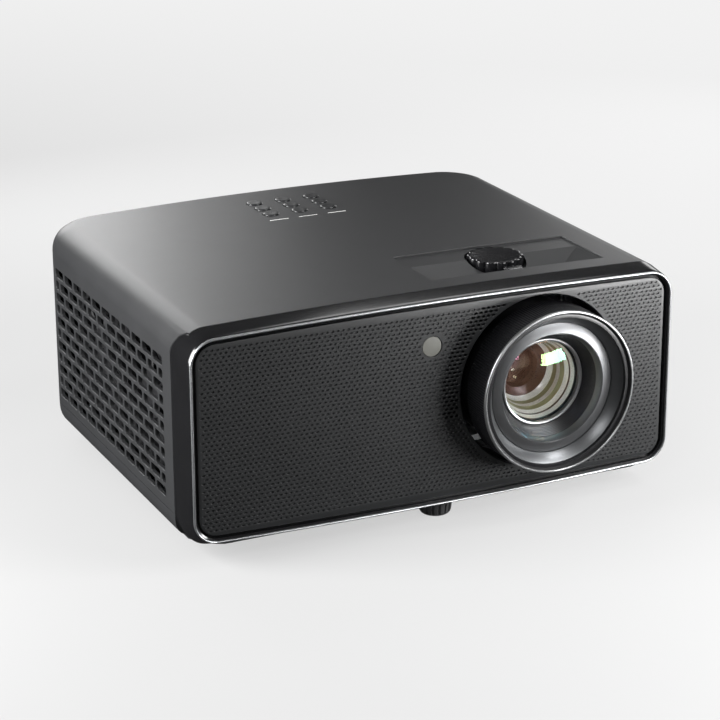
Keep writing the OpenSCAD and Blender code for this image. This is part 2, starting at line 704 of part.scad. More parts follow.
module laser_module() {
    color("#b07a45") difference() {
        block(pw_x - 18, eng_x0 - 8, pw_y + 40, pw_y + 62, lens_z - 34, lens_z + 30);
        for (i = [-1:1]) translate([pw_x - 40, rim_y + pw_y + 54, lens_z + i * 18])
            rotate([0, 90, 0]) cylinder(r = 3.1, h = 60, $fn = 32);
    }
}
hs_x0 = pw_x - 100;
module laser_heatsink() {
    color("#a6a9ac") difference() {
        union() {
            for (i = [0:13])
                block(hs_x0 + i * 5, hs_x0 + i * 5 + 1, pw_y - 40, pw_y + 68, lens_z - 36, lens_z + 34);
            for (z = [lens_z - 36, lens_z + 32]) block(hs_x0, hs_x0 + 66, pw_y - 40, pw_y + 68, z, z + 2);
            for (x = [hs_x0 + 6, hs_x0 + 60]) for (y = [pw_y - 22, pw_y + 40])
                post(x, y, deck, lens_z - 35, 4);
        }
        for (i = [-1:1]) translate([hs_x0 - 10, rim_y + pw_y + 54, lens_z + i * 18])
            rotate([0, 90, 0]) cylinder(r = 3.1, h = 100, $fn = 32);
    }
}
module heat_pipes() {
    color("#b8693c") for (i = [-1:1]) translate([hs_x0 - 3, rim_y + pw_y + 54, lens_z + i * 18])
        rotate([0, 90, 0]) cylinder(r = 3, h = pw_x + 20 - hs_x0, $fn = 32);
}

// ---- Cooling ----
module fan_frame() {
    s = fan_size;
    difference() {
        translate([0, -s / 2, -s / 2]) cube([fan_t, s, s]);
        translate([-1, 0, 0]) rotate([0, 90, 0]) cylinder(r = s / 2 - 2, h = fan_t + 2, $fn = 96);
        for (y = [-1, 1]) for (z = [-1, 1]) translate([-1, y * (s / 2 - 4.5), z * (s / 2 - 4.5)])
            rotate([0, 90, 0]) cylinder(r = 2.1, h = fan_t + 2, $fn = 32);
    }
    for (a = [0:3]) rotate([45 + a * 90, 0, 0]) translate([fan_t - 3, -2, 15]) cube([3, 4, s / 2 - 15]);
    translate([fan_t - 3, 0, 0]) rotate([0, 90, 0]) cylinder(r = 17, h = 3, $fn = 64);
    translate([3, 0, 0]) rotate([0, 90, 0]) cylinder(r = 2, h = fan_t - 5, $fn = 32);
    for (y = [-1, 1]) translate([8, y * (s / 2 - 12) - 3, deck - fan_z])
        cube([fan_t - 16, 6, fan_z - deck - s / 2]);
}
module fan_rotor() {
    r = fan_size / 2 - 2 - fan_gap;
    difference() {
        union() {
            translate([2, 0, 0]) rotate([0, 90, 0]) cylinder(r = 16, h = fan_t - 6, $fn = 64);
            for (a = [0:6]) rotate([a * 360 / 7, 0, 0]) translate([3, -1, 14])
                rotate([0, 0, 28]) translate([0, -1, 0]) cube([fan_t - 8, 1.6, r - 16]);
        }
        translate([-1, 0, 0]) rotate([0, 90, 0]) cylinder(r = 2 + run_gap, h = fan_t + 2, $fn = 32);
    }
}
module fan_frames() {
    color("#1b1c1e") {
        for (y = fan_ys) translate([fan_left_x, rim_y + y, fan_z]) fan_frame();
        translate([fan_right_x, rim_y + fan_exhaust_y, fan_z]) fan_frame();
    }
}
module fan_rotor_front() { color("#222326") translate([fan_left_x, rim_y + fan_ys[0], fan_z]) fan_rotor(); }
module fan_rotor_rear() { color("#222326") translate([fan_left_x, rim_y + fan_ys[1], fan_z]) fan_rotor(); }
module fan_rotor_exhaust() {
    color("#222326") translate([fan_right_x, rim_y + fan_exhaust_y, fan_z]) fan_rotor();
}

// ---- Electronics and rear ----
inlet_z = board_z + board_t + 8;
port_xs = [for (d = [180, 158, 136, 114, 94, 74, 54, 34, 16]) io_x1 - d];
port_ws = [15, 15, 12, 12, 16, 16, 12, 9, 9];
port_z = board_z + board_t;
function port_h(i) = i < 2 ? 5.5 : i < 4 ? 7 : i < 6 ? 13 : i == 6 ? 12 : 9;
module main_board() {
    color("#1f6a3a") {
        block(io_x1 - 194, io_x1 - 6, io_y - 57, io_y - 3, board_z, board_z + board_t);
        for (x = [io_x1 - 188, io_x1 - 12]) for (y = [io_y - 52, io_y - 11]) post(x, y, deck, board_z, 3);
        for (i = [0:3])
            block(io_x1 - 176 + i * 38, io_x1 - 156 + i * 38, io_y - 49, io_y - 29, port_z, port_z + 4);
    }
}
module power_board() {
    color("#b58a3c") {
        block(io_x0 - 2, io_x0 + 54, io_y - 59, io_y - 22, board_z, board_z + board_t);
        for (x = [io_x0 + 2, io_x0 + 50]) for (y = [io_y - 55, io_y - 27]) post(x, y, deck, board_z, 3);
        block(io_x0 + 6, io_x0 + 32, io_y - 54, io_y - 30, port_z, port_z + 24);
        for (i = [0:2]) post(io_x0 + 42, io_y - 55 + i * 13, port_z, port_z + 22, 5.5);
    }
}
module rear_io_panel() {
    z0 = z_split + 0.3;
    z1 = z_split + io_h - 0.3;
    color("#161718") difference() {
        block(io_x0 + 0.3, io_x1 - 0.3, io_y, body_d - 4, z0, z1);
        block(io_x0 + 2.3, io_x1 - 2.3, io_y + 2, body_d, z0 + 2, z1 - 2);
        for (i = [0:8]) block(port_xs[i] - port_ws[i] / 2 - 0.3, port_xs[i] + port_ws[i] / 2 + 0.3,
            io_y - 1, io_y + 3, port_z - 0.3, port_z + port_h(i) + 0.3);
        block(inlet_x - 14.3, inlet_x + 14.3, io_y - 1, io_y + 3, inlet_z - 0.3, inlet_z + 20.3);
    }
}
module signal_ports() {
    color("#b4b7ba") for (i = [0:8]) difference() {
        block(port_xs[i] - port_ws[i] / 2, port_xs[i] + port_ws[i] / 2, io_y - 8, io_y + 2.6,
            port_z, port_z + port_h(i));
        block(port_xs[i] - port_ws[i] / 2 + 0.8, port_xs[i] + port_ws[i] / 2 - 0.8, io_y - 7,
            io_y + 3, port_z + 0.8, port_z + port_h(i) - 0.8);
    }
}
module ac_inlet() {
    z0 = inlet_z;
    color("#0f1011") difference() {
        union() {
            block(inlet_x - 14, inlet_x + 14, io_y - 20, io_y + 2, z0, z0 + 20);
            block(inlet_x - 17, inlet_x + 17, io_y + 2, io_y + 4, z0 - 3, z0 + 23);
        }
        block(inlet_x - 12, inlet_x + 12, io_y - 15, io_y + 5, z0 + 2, z0 + 18);
    }
    color("#c9c2b0") for (i = [-1:1]) block(inlet_x + i * 7 - 1, inlet_x + i * 7 + 1, io_y - 15.5, io_y - 2,
        z0 + (i == 0 ? 11 : 6), z0 + (i == 0 ? 15 : 10));
}
module speaker_box() {
    x = -half_w + 52.5;
    color("#1c1d1f") difference() {
        block(x, x + 70, 14, 46, deck + 20, deck + 100);
        block(x + 3, x + 67, 17, 43, deck + 23, deck + 97);
        translate([x + 35, rim_y + 13, deck + 60]) along_y() cylinder(r = 24, h = 5, $fn = 64);
    }
    color("#2c2d30") translate([x + 35, rim_y + 15, deck + 60]) along_y() difference() {
        cylinder(r = 26, h = 2, $fn = 64);
        translate([0, 0, -1]) cylinder(r1 = 22, r2 = 10, h = 4, $fn = 64);
    }
    color("#2c2d30") block(x + 8, x + 62, 34, 42, deck, deck + 20);
}

// ---- Feet and fasteners ----
function foot_places() = [foot_front, [-foot_rear_x, foot_rear_y], [foot_rear_x, foot_rear_y]];
pad_h = foot_gap - 2;
module foot_stud(p) {
    color("#8f9295") union() {
        post(p[0], p[1], 5, foot_stud_top, foot_stud_r);
        post(p[0], p[1], 4, 6, foot_stud_r + 2);
    }
}
module foot_pad(p) {
    color("#3a3b3d") translate([p[0], rim_y + p[1], 0]) difference() {
        rotate_extrude($fn = 64) polygon([[0, 0], [foot_r - 2.6, 0], [foot_r - 0.9, 0.9], [foot_r, 3],
            [foot_r + 0.6, pad_h - 3], [foot_r + 2, pad_h], [0, pad_h]]);
        translate([0, 0, 4 - run_gap]) cylinder(r = foot_stud_r + 2 + run_gap, h = 2 + 2 * run_gap, $fn = 48);
        translate([0, 0, 5]) cylinder(r = foot_stud_r + run_gap, h = pad_h, $fn = 48);
        for (i = [0:11]) rotate(i * 30) translate([foot_r - 0.6, -0.6, 1.5]) cube([4, 1.2, pad_h - 5.5]);
    }
}
module front_foot_stud() { foot_stud(foot_places()[0]); }
module front_foot_pad() { foot_pad(foot_places()[0]); }
module rear_left_foot_stud() { foot_stud(foot_places()[1]); }
module rear_left_foot_pad() { foot_pad(foot_places()[1]); }
module rear_right_foot_stud() { foot_stud(foot_places()[2]); }
module rear_right_foot_pad() { foot_pad(foot_places()[2]); }
module fasteners() {
    color("#9a9c9f") {
        for (s = [-1, 1]) for (y = side_post_y) {
            post(s * side_post_x, y, z_split - 7.5, z_split - 5, 3.2);
            post(s * side_post_x, y, z_split - 5.5, z_split + 8, 1.5);
        }
        for (s = [-1, 1]) translate([s * nub_x, rim_y + nub_y, z_keel]) intersection() {
            sphere(r = nub_r, $fn = 32);
            translate([-5, -5, -5]) cube([10, 10, 5]);
        }
    }
}

top_housing();
bottom_housing();
front_bezel();
rim_trim();
front_panel();
ir_window();
lens_shroud();
lens_frame();
shift_guide_rods();
lens_carriage();
lens_barrel();
lens_front_ring();
lens_baffle();
lens_retainer();
front_lens();
zoom_lens();
rear_lens();
focus_ring();
lens_front_rim();
zoom_ring();
shift_dial();
shift_screw();
keypad_board();
key_menu();
key_power();
key_source();
key_left();
key_enter();
key_right();
key_back();
key_down();
key_info();
indicator_bars();
engine_housing();
prism_block();
dmd_board();
dmd_heatsink();
phosphor_housing();
phosphor_motor();
phosphor_wheel();
laser_module();
laser_heatsink();
heat_pipes();
fan_frames();
fan_rotor_front();
fan_rotor_rear();
fan_rotor_exhaust();
main_board();
power_board();
rear_io_panel();
signal_ports();
ac_inlet();
speaker_box();
front_foot_stud();
front_foot_pad();
rear_left_foot_stud();
rear_left_foot_pad();
rear_right_foot_stud();
rear_right_foot_pad();
fasteners();
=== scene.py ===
"""Looks of the home projector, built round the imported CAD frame.

Lengths are millimetres in the CAD's sense: X to the right, Y back from the front rim, Z up from the table.
Every piece is made in place and turned into metres as its mesh is made.
"""
import json
import math

import bmesh
import bpy
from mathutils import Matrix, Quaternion, Vector


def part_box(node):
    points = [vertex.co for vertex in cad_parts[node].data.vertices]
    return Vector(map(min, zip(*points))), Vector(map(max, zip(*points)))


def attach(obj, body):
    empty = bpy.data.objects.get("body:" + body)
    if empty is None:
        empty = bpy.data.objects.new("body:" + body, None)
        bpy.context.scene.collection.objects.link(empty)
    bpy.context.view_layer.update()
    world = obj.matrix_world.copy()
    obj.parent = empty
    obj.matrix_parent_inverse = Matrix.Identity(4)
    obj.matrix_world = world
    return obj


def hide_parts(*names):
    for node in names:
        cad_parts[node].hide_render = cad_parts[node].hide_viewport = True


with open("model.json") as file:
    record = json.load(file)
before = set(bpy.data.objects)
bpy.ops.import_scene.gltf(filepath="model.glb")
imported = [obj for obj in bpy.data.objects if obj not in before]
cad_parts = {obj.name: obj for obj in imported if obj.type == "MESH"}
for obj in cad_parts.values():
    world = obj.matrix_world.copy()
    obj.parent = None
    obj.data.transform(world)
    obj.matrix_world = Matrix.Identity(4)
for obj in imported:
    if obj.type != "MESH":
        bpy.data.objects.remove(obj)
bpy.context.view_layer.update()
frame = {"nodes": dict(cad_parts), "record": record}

MM = 0.001
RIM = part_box("front_bezel")[0].y


def node_box(node):
    """Lowest and highest corner of a CAD node, in millimetres from the front rim."""
    return [Vector((c.x / MM, (c.y - RIM) / MM, c.z / MM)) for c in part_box(node)]


def middle(node):
    """Middle of a CAD node's box."""
    low, high = node_box(node)
    return (low + high) / 2


# ---- Sizes read from the frame, and the forms' own radii ----
HALF_W = node_box("front_bezel")[1].x
TOP = node_box("front_bezel")[1].z
BEZEL_D = node_box("front_bezel")[1].y
FACE_LOW = node_box("front_bezel")[0].z
SPLIT = node_box("top_housing")[0].z
BACK = node_box("top_housing")[1].y
KEEL = node_box("bottom_housing")[0].z
TRIM_INSET = 0.6
FACE_H = node_box("rim_trim")[1].z + TRIM_INSET - FACE_LOW
FACE_R = 17
SAG = 2.2
TONGUE = 17
DROP = 6
REAR_R = 34
REAR_BOW = 3
REAR_EDGE_R = 12
WALL = 2.6
SEAM = 0.2
LENS_X = middle("lens_barrel").x
LENS_Z = middle("lens_barrel").z
LENS_OUT = -node_box("lens_front_rim")[0].y
LENS_R = node_box("lens_front_rim")[1].x - LENS_X
PANEL_Y = node_box("front_panel")[0].y
PANEL_BACK = node_box("front_panel")[1].y
LENS_HOLE_R = LENS_R + 3.3
GLASS_R = node_box("lens_retainer")[1].x - LENS_X - 2


# ---- Mesh tools ----
def arc(cx, cy, r, start, stop, n):
    """Points on an arc, angles in degrees."""
    angles = [math.radians(start + (stop - start) * i / n) for i in range(n + 1)]
    return [(cx + r * math.cos(a), cy + r * math.sin(a)) for a in angles]


def rounded_rect(w, h, r, n=4):
    """Outline of a rectangle with round corners, about its own middle."""
    x, y = w / 2 - r, h / 2 - r
    return (arc(x, y, r, 0, 90, n) + arc(-x, y, r, 90, 180, n)
            + arc(-x, -y, r, 180, 270, n) + arc(x, -y, r, 270, 360, n))


def circle(r, n=48):
    """Points on a circle about the origin."""
    return arc(0, 0, r, 0, 360 * (n - 1) / n, n - 1)


class Solid:
    """Vertices and faces of a piece that is still being made."""

    def __init__(self):
        self.verts = []
        self.faces = []

    def ring(self, points):
        """Adds points and gives their numbers."""
        start = len(self.verts)
        self.verts += [tuple(p) for p in points]
        return list(range(start, len(self.verts)))

    def bridge(self, a, b):
        """Faces between two rings of the same length, or of one point."""
        n = max(len(a), len(b))
        for i in range(n):
            j = (i + 1) % n
            face = [a[i % len(a)], a[j % len(a)], b[j % len(b)], b[i % len(b)]]
            self.faces.append(list(dict.fromkeys(face)))

    def loft(self, rings, closed=False):
        """A solid through rings of points: capped at both ends, or joined end to end."""
        made = [self.ring(r) for r in rings]
        for a, b in zip(made, made[1:]):
            self.bridge(a, b)
        if closed:
            self.bridge(made[-1], made[0])
        else:
            for end in (made[0], made[-1]):
                if len(end) > 2:
                    self.faces.append(end)
        return self

    def box(self, low, high, bevel=0.0):
        """A block between two corners, with its upright edges rounded by bevel."""
        w, d = high[0] - low[0], high[1] - low[1]
        cx, cy = (low[0] + high[0]) / 2, (low[1] + high[1]) / 2
        outline = rounded_rect(w, d, max(bevel, 0.01), 3)
        c = min(bevel, (high[2] - low[2]) / 3)
        levels = [(low[2], 0), (high[2], 0)]
        if c:
            levels = [(low[2], -c), (low[2] + c, 0), (high[2] - c, 0), (high[2], -c)]
        rings = []
        for z, g in levels:
            rings.append([(cx + x * (1 + 2 * g / w), cy + y * (1 + 2 * g / d), z) for x, y in outline])
        return self.loft(rings)

    def lathe(self, profile, place, n=128):
        """Turns a profile of (radius, distance) about an axis; place puts a point of it in space."""
        rings = []
        for r, h in profile:
            count = n if r else 1
            rings.append([place(r, h, 2 * math.pi * k / n) for k in range(count)])
        made = [self.ring(r) for r in rings]
        pairs = list(zip(made, made[1:]))
        if len(made[0]) > 1 and len(made[-1]) > 1:
            pairs.append((made[-1], made[0]))
        for a, b in pairs:
            if len(a) > 1 or len(b) > 1:
                self.bridge(a, b)
        return self

    def mesh(self, name):
        """The Blender object, in metres, with its normals outward."""
        data = bpy.data.meshes.new(name)
        data.from_pydata([(x * MM, y * MM + RIM, z * MM) for x, y, z in self.verts], [], self.faces)
        bm = bmesh.new()
        bm.from_mesh(data)
        bmesh.ops.recalc_face_normals(bm, faces=bm.faces)
        bm.to_mesh(data)
        bm.free()
        obj = bpy.data.objects.new(name, data)
        bpy.context.scene.collection.objects.link(obj)
        return obj


def about_lens(r, y, a):
    """A point at a radius and angle about the lens axis."""
    return (LENS_X + r * math.cos(a), y, LENS_Z + r * math.sin(a))


def about_post(x, y):
    """Places points about an upright axis."""
    return lambda r, z, a: (x + r * math.cos(a), y + r * math.sin(a), z)


def about_window(r, y, a):
    """A point at a radius and angle about the middle of the receiver window."""
    return (IR.x + r * math.cos(a), y, IR.z + r * math.sin(a))


def combine(target, other, operation):
    """Boolean of two closed meshes; the other one is used up."""
    mod = target.modifiers.new(operation, "BOOLEAN")
    mod.solver = "MANIFOLD"
    mod.operation = operation
    mod.object = other
    bpy.context.view_layer.update()
    result = bpy.data.meshes.new_from_object(target.evaluated_get(bpy.context.evaluated_depsgraph_get()))
    target.modifiers.clear()
    target.data = result
    bpy.data.objects.remove(other)
    return target


def cut(target, solid):
    """Takes a solid out of a mesh."""
    return combine(target, solid.mesh("cut"), "DIFFERENCE")


def finish_piece(obj, material, body, nodes=(), angle=32):
    """Shades a piece, gives it its material by name and joins it to its body."""
    mesh = obj.data
    mesh.materials.clear()
    mesh.materials.append(MATERIAL[material])
    mesh.shade_smooth()
    mesh.set_sharp_from_angle(angle=math.radians(angle))
    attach(obj, body)
    if nodes:
        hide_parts(*nodes)
    return obj


# ---- Materials ----
MATERIAL = {}
NOISE_LOW, NOISE_HIGH = 0.3, 0.7


def new_material(name, base, roughness, **values):
    """A principled material whose constant values sit on the shader's own sockets."""
    mat = bpy.data.materials.new(name)
    mat.use_nodes = True
    shader = mat.node_tree.nodes["Principled BSDF"]
    shader.inputs["Base Color"].default_value = (*base, 1)
    shader.inputs["Roughness"].default_value = roughness
    for key, value in values.items():
        shader.inputs[key.replace("_", " ")].default_value = value
    MATERIAL[name] = mat
    return mat, mat.node_tree.nodes, mat.node_tree.links, shader


def noise(nodes, links, scale, detail=2.0, stretch=(1, 1, 1)):
    """Noise in the piece's own space; scale is cycles in a millimetre."""
    where = nodes.new("ShaderNodeTexCoord")
    mapping = nodes.new("ShaderNodeMapping")
    texture = nodes.new("ShaderNodeTexNoise")
    mapping.inputs["Scale"].default_value = stretch
    texture.inputs["Scale"].default_value = scale / MM
    texture.inputs["Detail"].default_value = detail
    links.new(where.outputs["Object"], mapping.inputs["Vector"])
    links.new(mapping.outputs["Vector"], texture.inputs["Vector"])
    return texture.outputs["Fac"]


def spread(nodes, links, fac, low, high):
    """Maps a noise to a range of values."""
    node = nodes.new("ShaderNodeMapRange")
    node.inputs["From Min"].default_value = NOISE_LOW
    node.inputs["From Max"].default_value = NOISE_HIGH
    node.inputs["To Min"].default_value = low
    node.inputs["To Max"].default_value = high
    links.new(fac, node.inputs["Value"])
    return node.outputs["Result"]


def tint(nodes, links, fac, base, amount):
    """Varies a colour up and down by a share of itself."""
    ramp = nodes.new("ShaderNodeValToRGB")
    ramp.color_ramp.elements[0].position = NOISE_LOW
    ramp.color_ramp.elements[1].position = NOISE_HIGH
    ramp.color_ramp.elements[0].color = (*[c * (1 - amount) for c in base], 1)
    ramp.color_ramp.elements[1].color = (*[c * (1 + amount) for c in base], 1)
    links.new(fac, ramp.inputs["Fac"])
    return ramp.outputs["Color"]


def surface(name, base, roughness, grain=3.0, depth=0.01, vary=0.08, rough_vary=0.04,
            stretch=(1, 1, 1), cloud=0.05, **values):
    """Moulded, painted or machined surface: grain as bump, and slow changes of colour and gloss."""
    _, nodes, links, shader = new_material(name, base, roughness, **values)
    fine = noise(nodes, links, grain, 3.0, stretch)
    broad = noise(nodes, links, cloud, 3.0)
    bump = nodes.new("ShaderNodeBump")
    bump.inputs["Strength"].default_value = 0.6
    bump.inputs["Distance"].default_value = depth * MM
    links.new(fine, bump.inputs["Height"])
    links.new(bump.outputs["Normal"], shader.inputs["Normal"])
    links.new(tint(nodes, links, broad, base, vary), shader.inputs["Base Color"])
    gloss = spread(nodes, links, fine, roughness - rough_vary, roughness + rough_vary)
    links.new(gloss, shader.inputs["Roughness"])


def circuit(name, base):
    """Solder resist with traces that show as a woven change of tone."""
    _, nodes, links, shader = new_material(name, base, 0.35)
    where = nodes.new("ShaderNodeTexCoord")
    brick = nodes.new("ShaderNodeTexBrick")
    brick.inputs["Scale"].default_value = 0.12 / MM
    brick.inputs["Color1"].default_value = (*base, 1)
    brick.inputs["Color2"].default_value = (*[c * 1.7 for c in base], 1)
    brick.inputs["Mortar"].default_value = (*[c * 0.6 for c in base], 1)
    links.new(where.outputs["Object"], brick.inputs["Vector"])
    links.new(brick.outputs["Color"], shader.inputs["Base Color"])
    links.new(spread(nodes, links, noise(nodes, links, 0.4), 0.28, 0.45), shader.inputs["Roughness"])


def coated_glass(name, tone, film):
    """Lens glass with a thin coating; dust only stirs its roughness."""
    _, nodes, links, shader = new_material(
        name, tone, 0.01, Transmission_Weight=1.0, IOR=1.52, Thin_Film_Thickness=film, Thin_Film_IOR=1.38)
    links.new(spread(nodes, links, noise(nodes, links, 0.8), 0.0, 0.02), shader.inputs["Roughness"])


surface("housing_plastic", (0.017, 0.0175, 0.0185), 0.44, 3.2, 0.03)
surface("gloss_bezel", (0.006, 0.006, 0.0065), 0.17, 0.6, 0.002, rough_vary=0.02)
surface("rim_metal", (0.40, 0.41, 0.42), 0.30, 4.0, 0.004, stretch=(0.05, 1, 1), Metallic=0.9)
surface("panel_plastic", (0.012, 0.0125, 0.0132), 0.38, 4.0, 0.012)
surface("ir_plastic", (0.10, 0.10, 0.088), 0.55, 2.5, 0.02)
surface("cast_alloy", (0.35, 0.36, 0.37), 0.5, 1.6, 0.06, Metallic=0.8)
surface("steel", (0.50, 0.51, 0.52), 0.28, 3.0, 0.004, stretch=(1, 1, 0.1), Metallic=1.0)
surface("lens_black", (0.006, 0.006, 0.0065), 0.45, 4.0, 0.01)
surface("ring_black", (0.006, 0.006, 0.007), 0.30, 3.0, 0.006)
surface("satin_ring", (0.16, 0.165, 0.17), 0.34, 5.0, 0.01, Metallic=0.85)
coated_glass("lens_glass", (1.0, 1.0, 1.0), 420.0)
surface("key_plastic", (0.014, 0.0145, 0.0155), 0.34, 3.2, 0.012)
surface("indicator_white", (0.74, 0.74, 0.72), 0.35, 2.0, 0.01, 0.03)
circuit("circuit_board", (0.012, 0.07, 0.03))
surface("fin_aluminium", (0.52, 0.53, 0.54), 0.38, 2.0, 0.01, stretch=(1, 0.05, 1), Metallic=0.95)
surface("copper", (0.52, 0.25, 0.13), 0.32, 1.5, 0.01, Metallic=1.0)
surface("fan_plastic", (0.012, 0.012, 0.013), 0.42, 2.2, 0.02)
surface("port_metal", (0.55, 0.55, 0.54), 0.27, 3.0, 0.004, Metallic=1.0)
surface("inlet_plastic", (0.01, 0.01, 0.011), 0.42, 2.6, 0.02)
surface("foot_plastic", (0.030, 0.030, 0.031), 0.5, 2.6, 0.03)
# The pale and the green cell colours are painted light: a painted highlight and a painted green reflection
# inside the lens.
surface("cell_painted_highlight", (0.80, 0.83, 0.78), 0.28, 4.0, 0.004, Metallic=0.35)
surface("cell_painted_green_reflection", (0.22, 0.25, 0.13), 0.30, 4.0, 0.004, Metallic=0.35)
surface("cell_dark", (0.02, 0.02, 0.02), 0.35, 4.0, 0.004, Metallic=0.35)
surface("cell_brown", (0.020, 0.007, 0.006), 0.30, 4.0, 0.004, Metallic=0.35)
surface("satin_bright", (0.36, 0.365, 0.37), 0.30, 5.0, 0.006, Metallic=0.9)
surface("satin_dark", (0.12, 0.122, 0.126), 0.36, 5.0, 0.006, Metallic=0.8)
surface("baffle_black", (0.012, 0.012, 0.013), 0.30, 4.0, 0.006)
surface("dial_black", (0.008, 0.008, 0.009), 0.22, 2.0, 0.003, rough_vary=0.03)
coated_glass("amber_glass", (0.9, 0.75, 0.62), 300.0)


# ---- Outlines of the housing ----
def top_height(x):
    """Height of the gently arched top."""
    t = min(abs(x) / (HALF_W - FACE_R), 1)
    return TOP - SAG * t * t


def face_outline(height, inset, n_arc=12, n_edge=24):
    """Front outline seen along Y: straight sides, arched long edges, round corners."""
    x = HALF_W - FACE_R
    r = max(FACE_R - inset, 1)
    steps = [1 - 2 * i / n_edge for i in range(1, n_edge)]
    high, low = height - SAG - FACE_R, SAG + FACE_R
    points = arc(x, high, r, 0, 90, n_arc)
    points += [(x * t, height - inset - SAG * t * t) for t in steps]
    points += arc(-x, high, r, 90, 180, n_arc) + arc(-x, low, r, 180, 270, n_arc)
    points += [(-x * t, inset + SAG * t * t) for t in steps]
    return points + arc(x, low, r, 270, 360, n_arc)


def face_ring(y, inset, height=FACE_H, low=FACE_LOW):
    """The front outline as a ring of points at a depth."""
    return [(x, y, z + low) for x, z in face_outline(height, inset)]


def seam_line(gap):
    """Line of the seam in side view, where the top cover reaches forward between the shoulders."""
    line = [(BEZEL_D, TOP - 20), (BEZEL_D - 2.5, TOP - 15), (BEZEL_D - 6.5, TOP - 9),
            (BEZEL_D - 11, TOP - 6), (TONGUE, TOP - 5.6)]
    return [(y + gap, z + gap) for y, z in line]


def seam_prism(outline):
    """A bar across the whole width with an outline given in side view."""
    return Solid().loft([[(x, y, z) for y, z in outline] for x in (-HALF_W - 3, HALF_W + 3)])


def band_form(grow):
    """Outside of the bezel: rounded front edge, deeper underneath toward the seam."""
    def station(inset, y):
        share = min(max((y - 3) / (TONGUE - 3), 0), 1)
        rise, drop = (TOP - FACE_LOW - FACE_H) * share, DROP * share
        return face_ring(y, inset - grow, FACE_H + rise + drop, FACE_LOW - drop)

    stations = [(0.75, 1.5), (0.5, 1.9), (0.25, 2.6), (0.08, 3.4), (0, 4.6), (0, TONGUE),
                (0, BEZEL_D - 0.5), (0.16, BEZEL_D - 0.16), (0.5, BEZEL_D)]
    return [station(inset, y) for inset, y in stations]


def plan_edge(front, inset, n_side=6, n_arc=24, n_bow=24):
    """Plan outline from the front left corner round the back, with the edge radius at each point."""
    x, y = HALF_W - REAR_R, BACK - REAR_R - REAR_BOW
    left = [(-HALF_W + inset(0), front + (y - front) * i / n_side, 0) for i in range(n_side)]
    for i in range(n_arc + 1):
        share = i / n_arc
        r = REAR_R - inset(share)
        a = math.radians(180 - 90 * share)
        left.append((-x + r * math.cos(a), y + r * math.sin(a), share))
    across = [1 - 2 * i / n_bow for i in range(1, n_bow)]
    bow = [(-x * t, BACK - inset(1) - REAR_BOW * t * t, 1) for t in across]
    right = [(-px, py, share) for px, py, share in reversed(left)]
    return left, bow, right


def cover_form(front, inset, low, bottom_levels=()):
    """Closed form of the top cover: arched top, edges rounded more at the sides than at the back."""
    radius = lambda share: FACE_R + (REAR_EDGE_R - FACE_R) * share - inset
    solid = Solid()

    def ring(angle, floor=None, grow=0.0):
        edge = lambda share: inset - grow + radius(share) * (1 - math.cos(angle))
        left, bow, right = plan_edge(front, edge)
        span = left[0][0]
        count = len(bow) + 1
        front_row = [(-span + 2 * span * i / count, front, 0) for i in range(1, count)]
        out = []
        for x, y, share in left + bow + right + front_row:
            z = top_height(x) - inset - radius(share) * (1 - math.sin(angle))
            if y == front and (x, y) not in [(left[0][0], front), (right[-1][0], front)]:
                z = top_height(x) - inset if angle > 0.01 else top_height(x) - inset - radius(0)
            out.append((x, y, z if floor is None else floor))
        return out, left, bow

    steps = 10
    rings = [ring(math.pi / 2 * i / steps)[0] for i in range(steps + 1)]
    rings = [ring(0, low, g)[0] for g, low in bottom_levels or [(0, low)]] + rings
    made = [solid.ring(r) for r in rings]
    for a, b in zip(made, made[1:]):
        solid.bridge(a, b)
    solid.faces.append(made[0])
    # Top surface: a grid between the left and right halves of the last ring
    _, left, bow = ring(math.pi / 2)
    top = made[-1]
    rows, cols = len(left), len(bow) + 2
    size = len(top)
    grid = []
    for i in range(rows):
        row = [top[i]]
        if i == 0:
            row += [top[size - k] for k in range(1, cols - 1)]
        elif i == rows - 1:
            row += [top[rows - 1 + k] for k in range(1, cols - 1)]
        else:
            half = -left[i][0]
            xs = [-half + 2 * half * k / (cols - 1) for k in range(1, cols - 1)]
            row += solid.ring([(x, left[i][1], top_height(x) - inset) for x in xs])
        row.append(top[2 * rows + len(bow) - 1 - i])
        grid.append(row)
    for a, b in zip(grid, grid[1:]):
        for k in range(cols - 1):
            solid.faces.append([a[k], a[k + 1], b[k + 1], b[k]])
    return solid


# ---- Cutters ----
def side_vents(solid, side):
    """Rows of long slots, offset by half a slot from row to row, with their mouths chamfered."""
    columns, rows = 11, 11
    pitch, row_pitch, bar, corner = 18.7, 8.67, 2.6, 1.9
    start = BEZEL_D + 15
    middle_z = FACE_LOW + FACE_H / 2 - 2
    low = middle_z - rows * row_pitch / 2
    for i in range(rows):
        offset = 0 if i % 2 == 0 else -pitch / 2
        for j in range(columns + i % 2):
            a = max(start + offset + j * pitch, start)
            b = min(start + offset + (j + 1) * pitch, start + columns * pitch) - bar
            y, z = (a + b) / 2, low + i * row_pitch + (row_pitch - bar) / 2
            rings = []
            for depth, grow in [(WALL + 2, 0), (0.45, 0), (-0.45, 0.9)]:
                outline = rounded_rect(b - a + grow, row_pitch - bar + grow, corner + grow / 2, 3)
                rings.append([(side * (HALF_W - depth), y + u, z + v) for u, v in outline])
            solid.loft(rings)


def round_hole(solid, x, y, r, low, chamfer=0.4):
    """An upright hole through the top, with a chamfered mouth."""
    top = top_height(x)
    levels = [(low, 0), (top - chamfer, 0), (top + chamfer, 2 * chamfer)]
    solid.loft([[(x + u, y + v, z) for u, v in circle(r + g, 64)] for z, g in levels])


RECESS = {"x0": LENS_X - 63, "x1": LENS_X + 63, "f0": LENS_X - 47, "f1": LENS_X + 23, "front": BEZEL_D + 2,
          "shelf": 67, "back": 88, "drop": 12, "shelf_drop": 1.2}


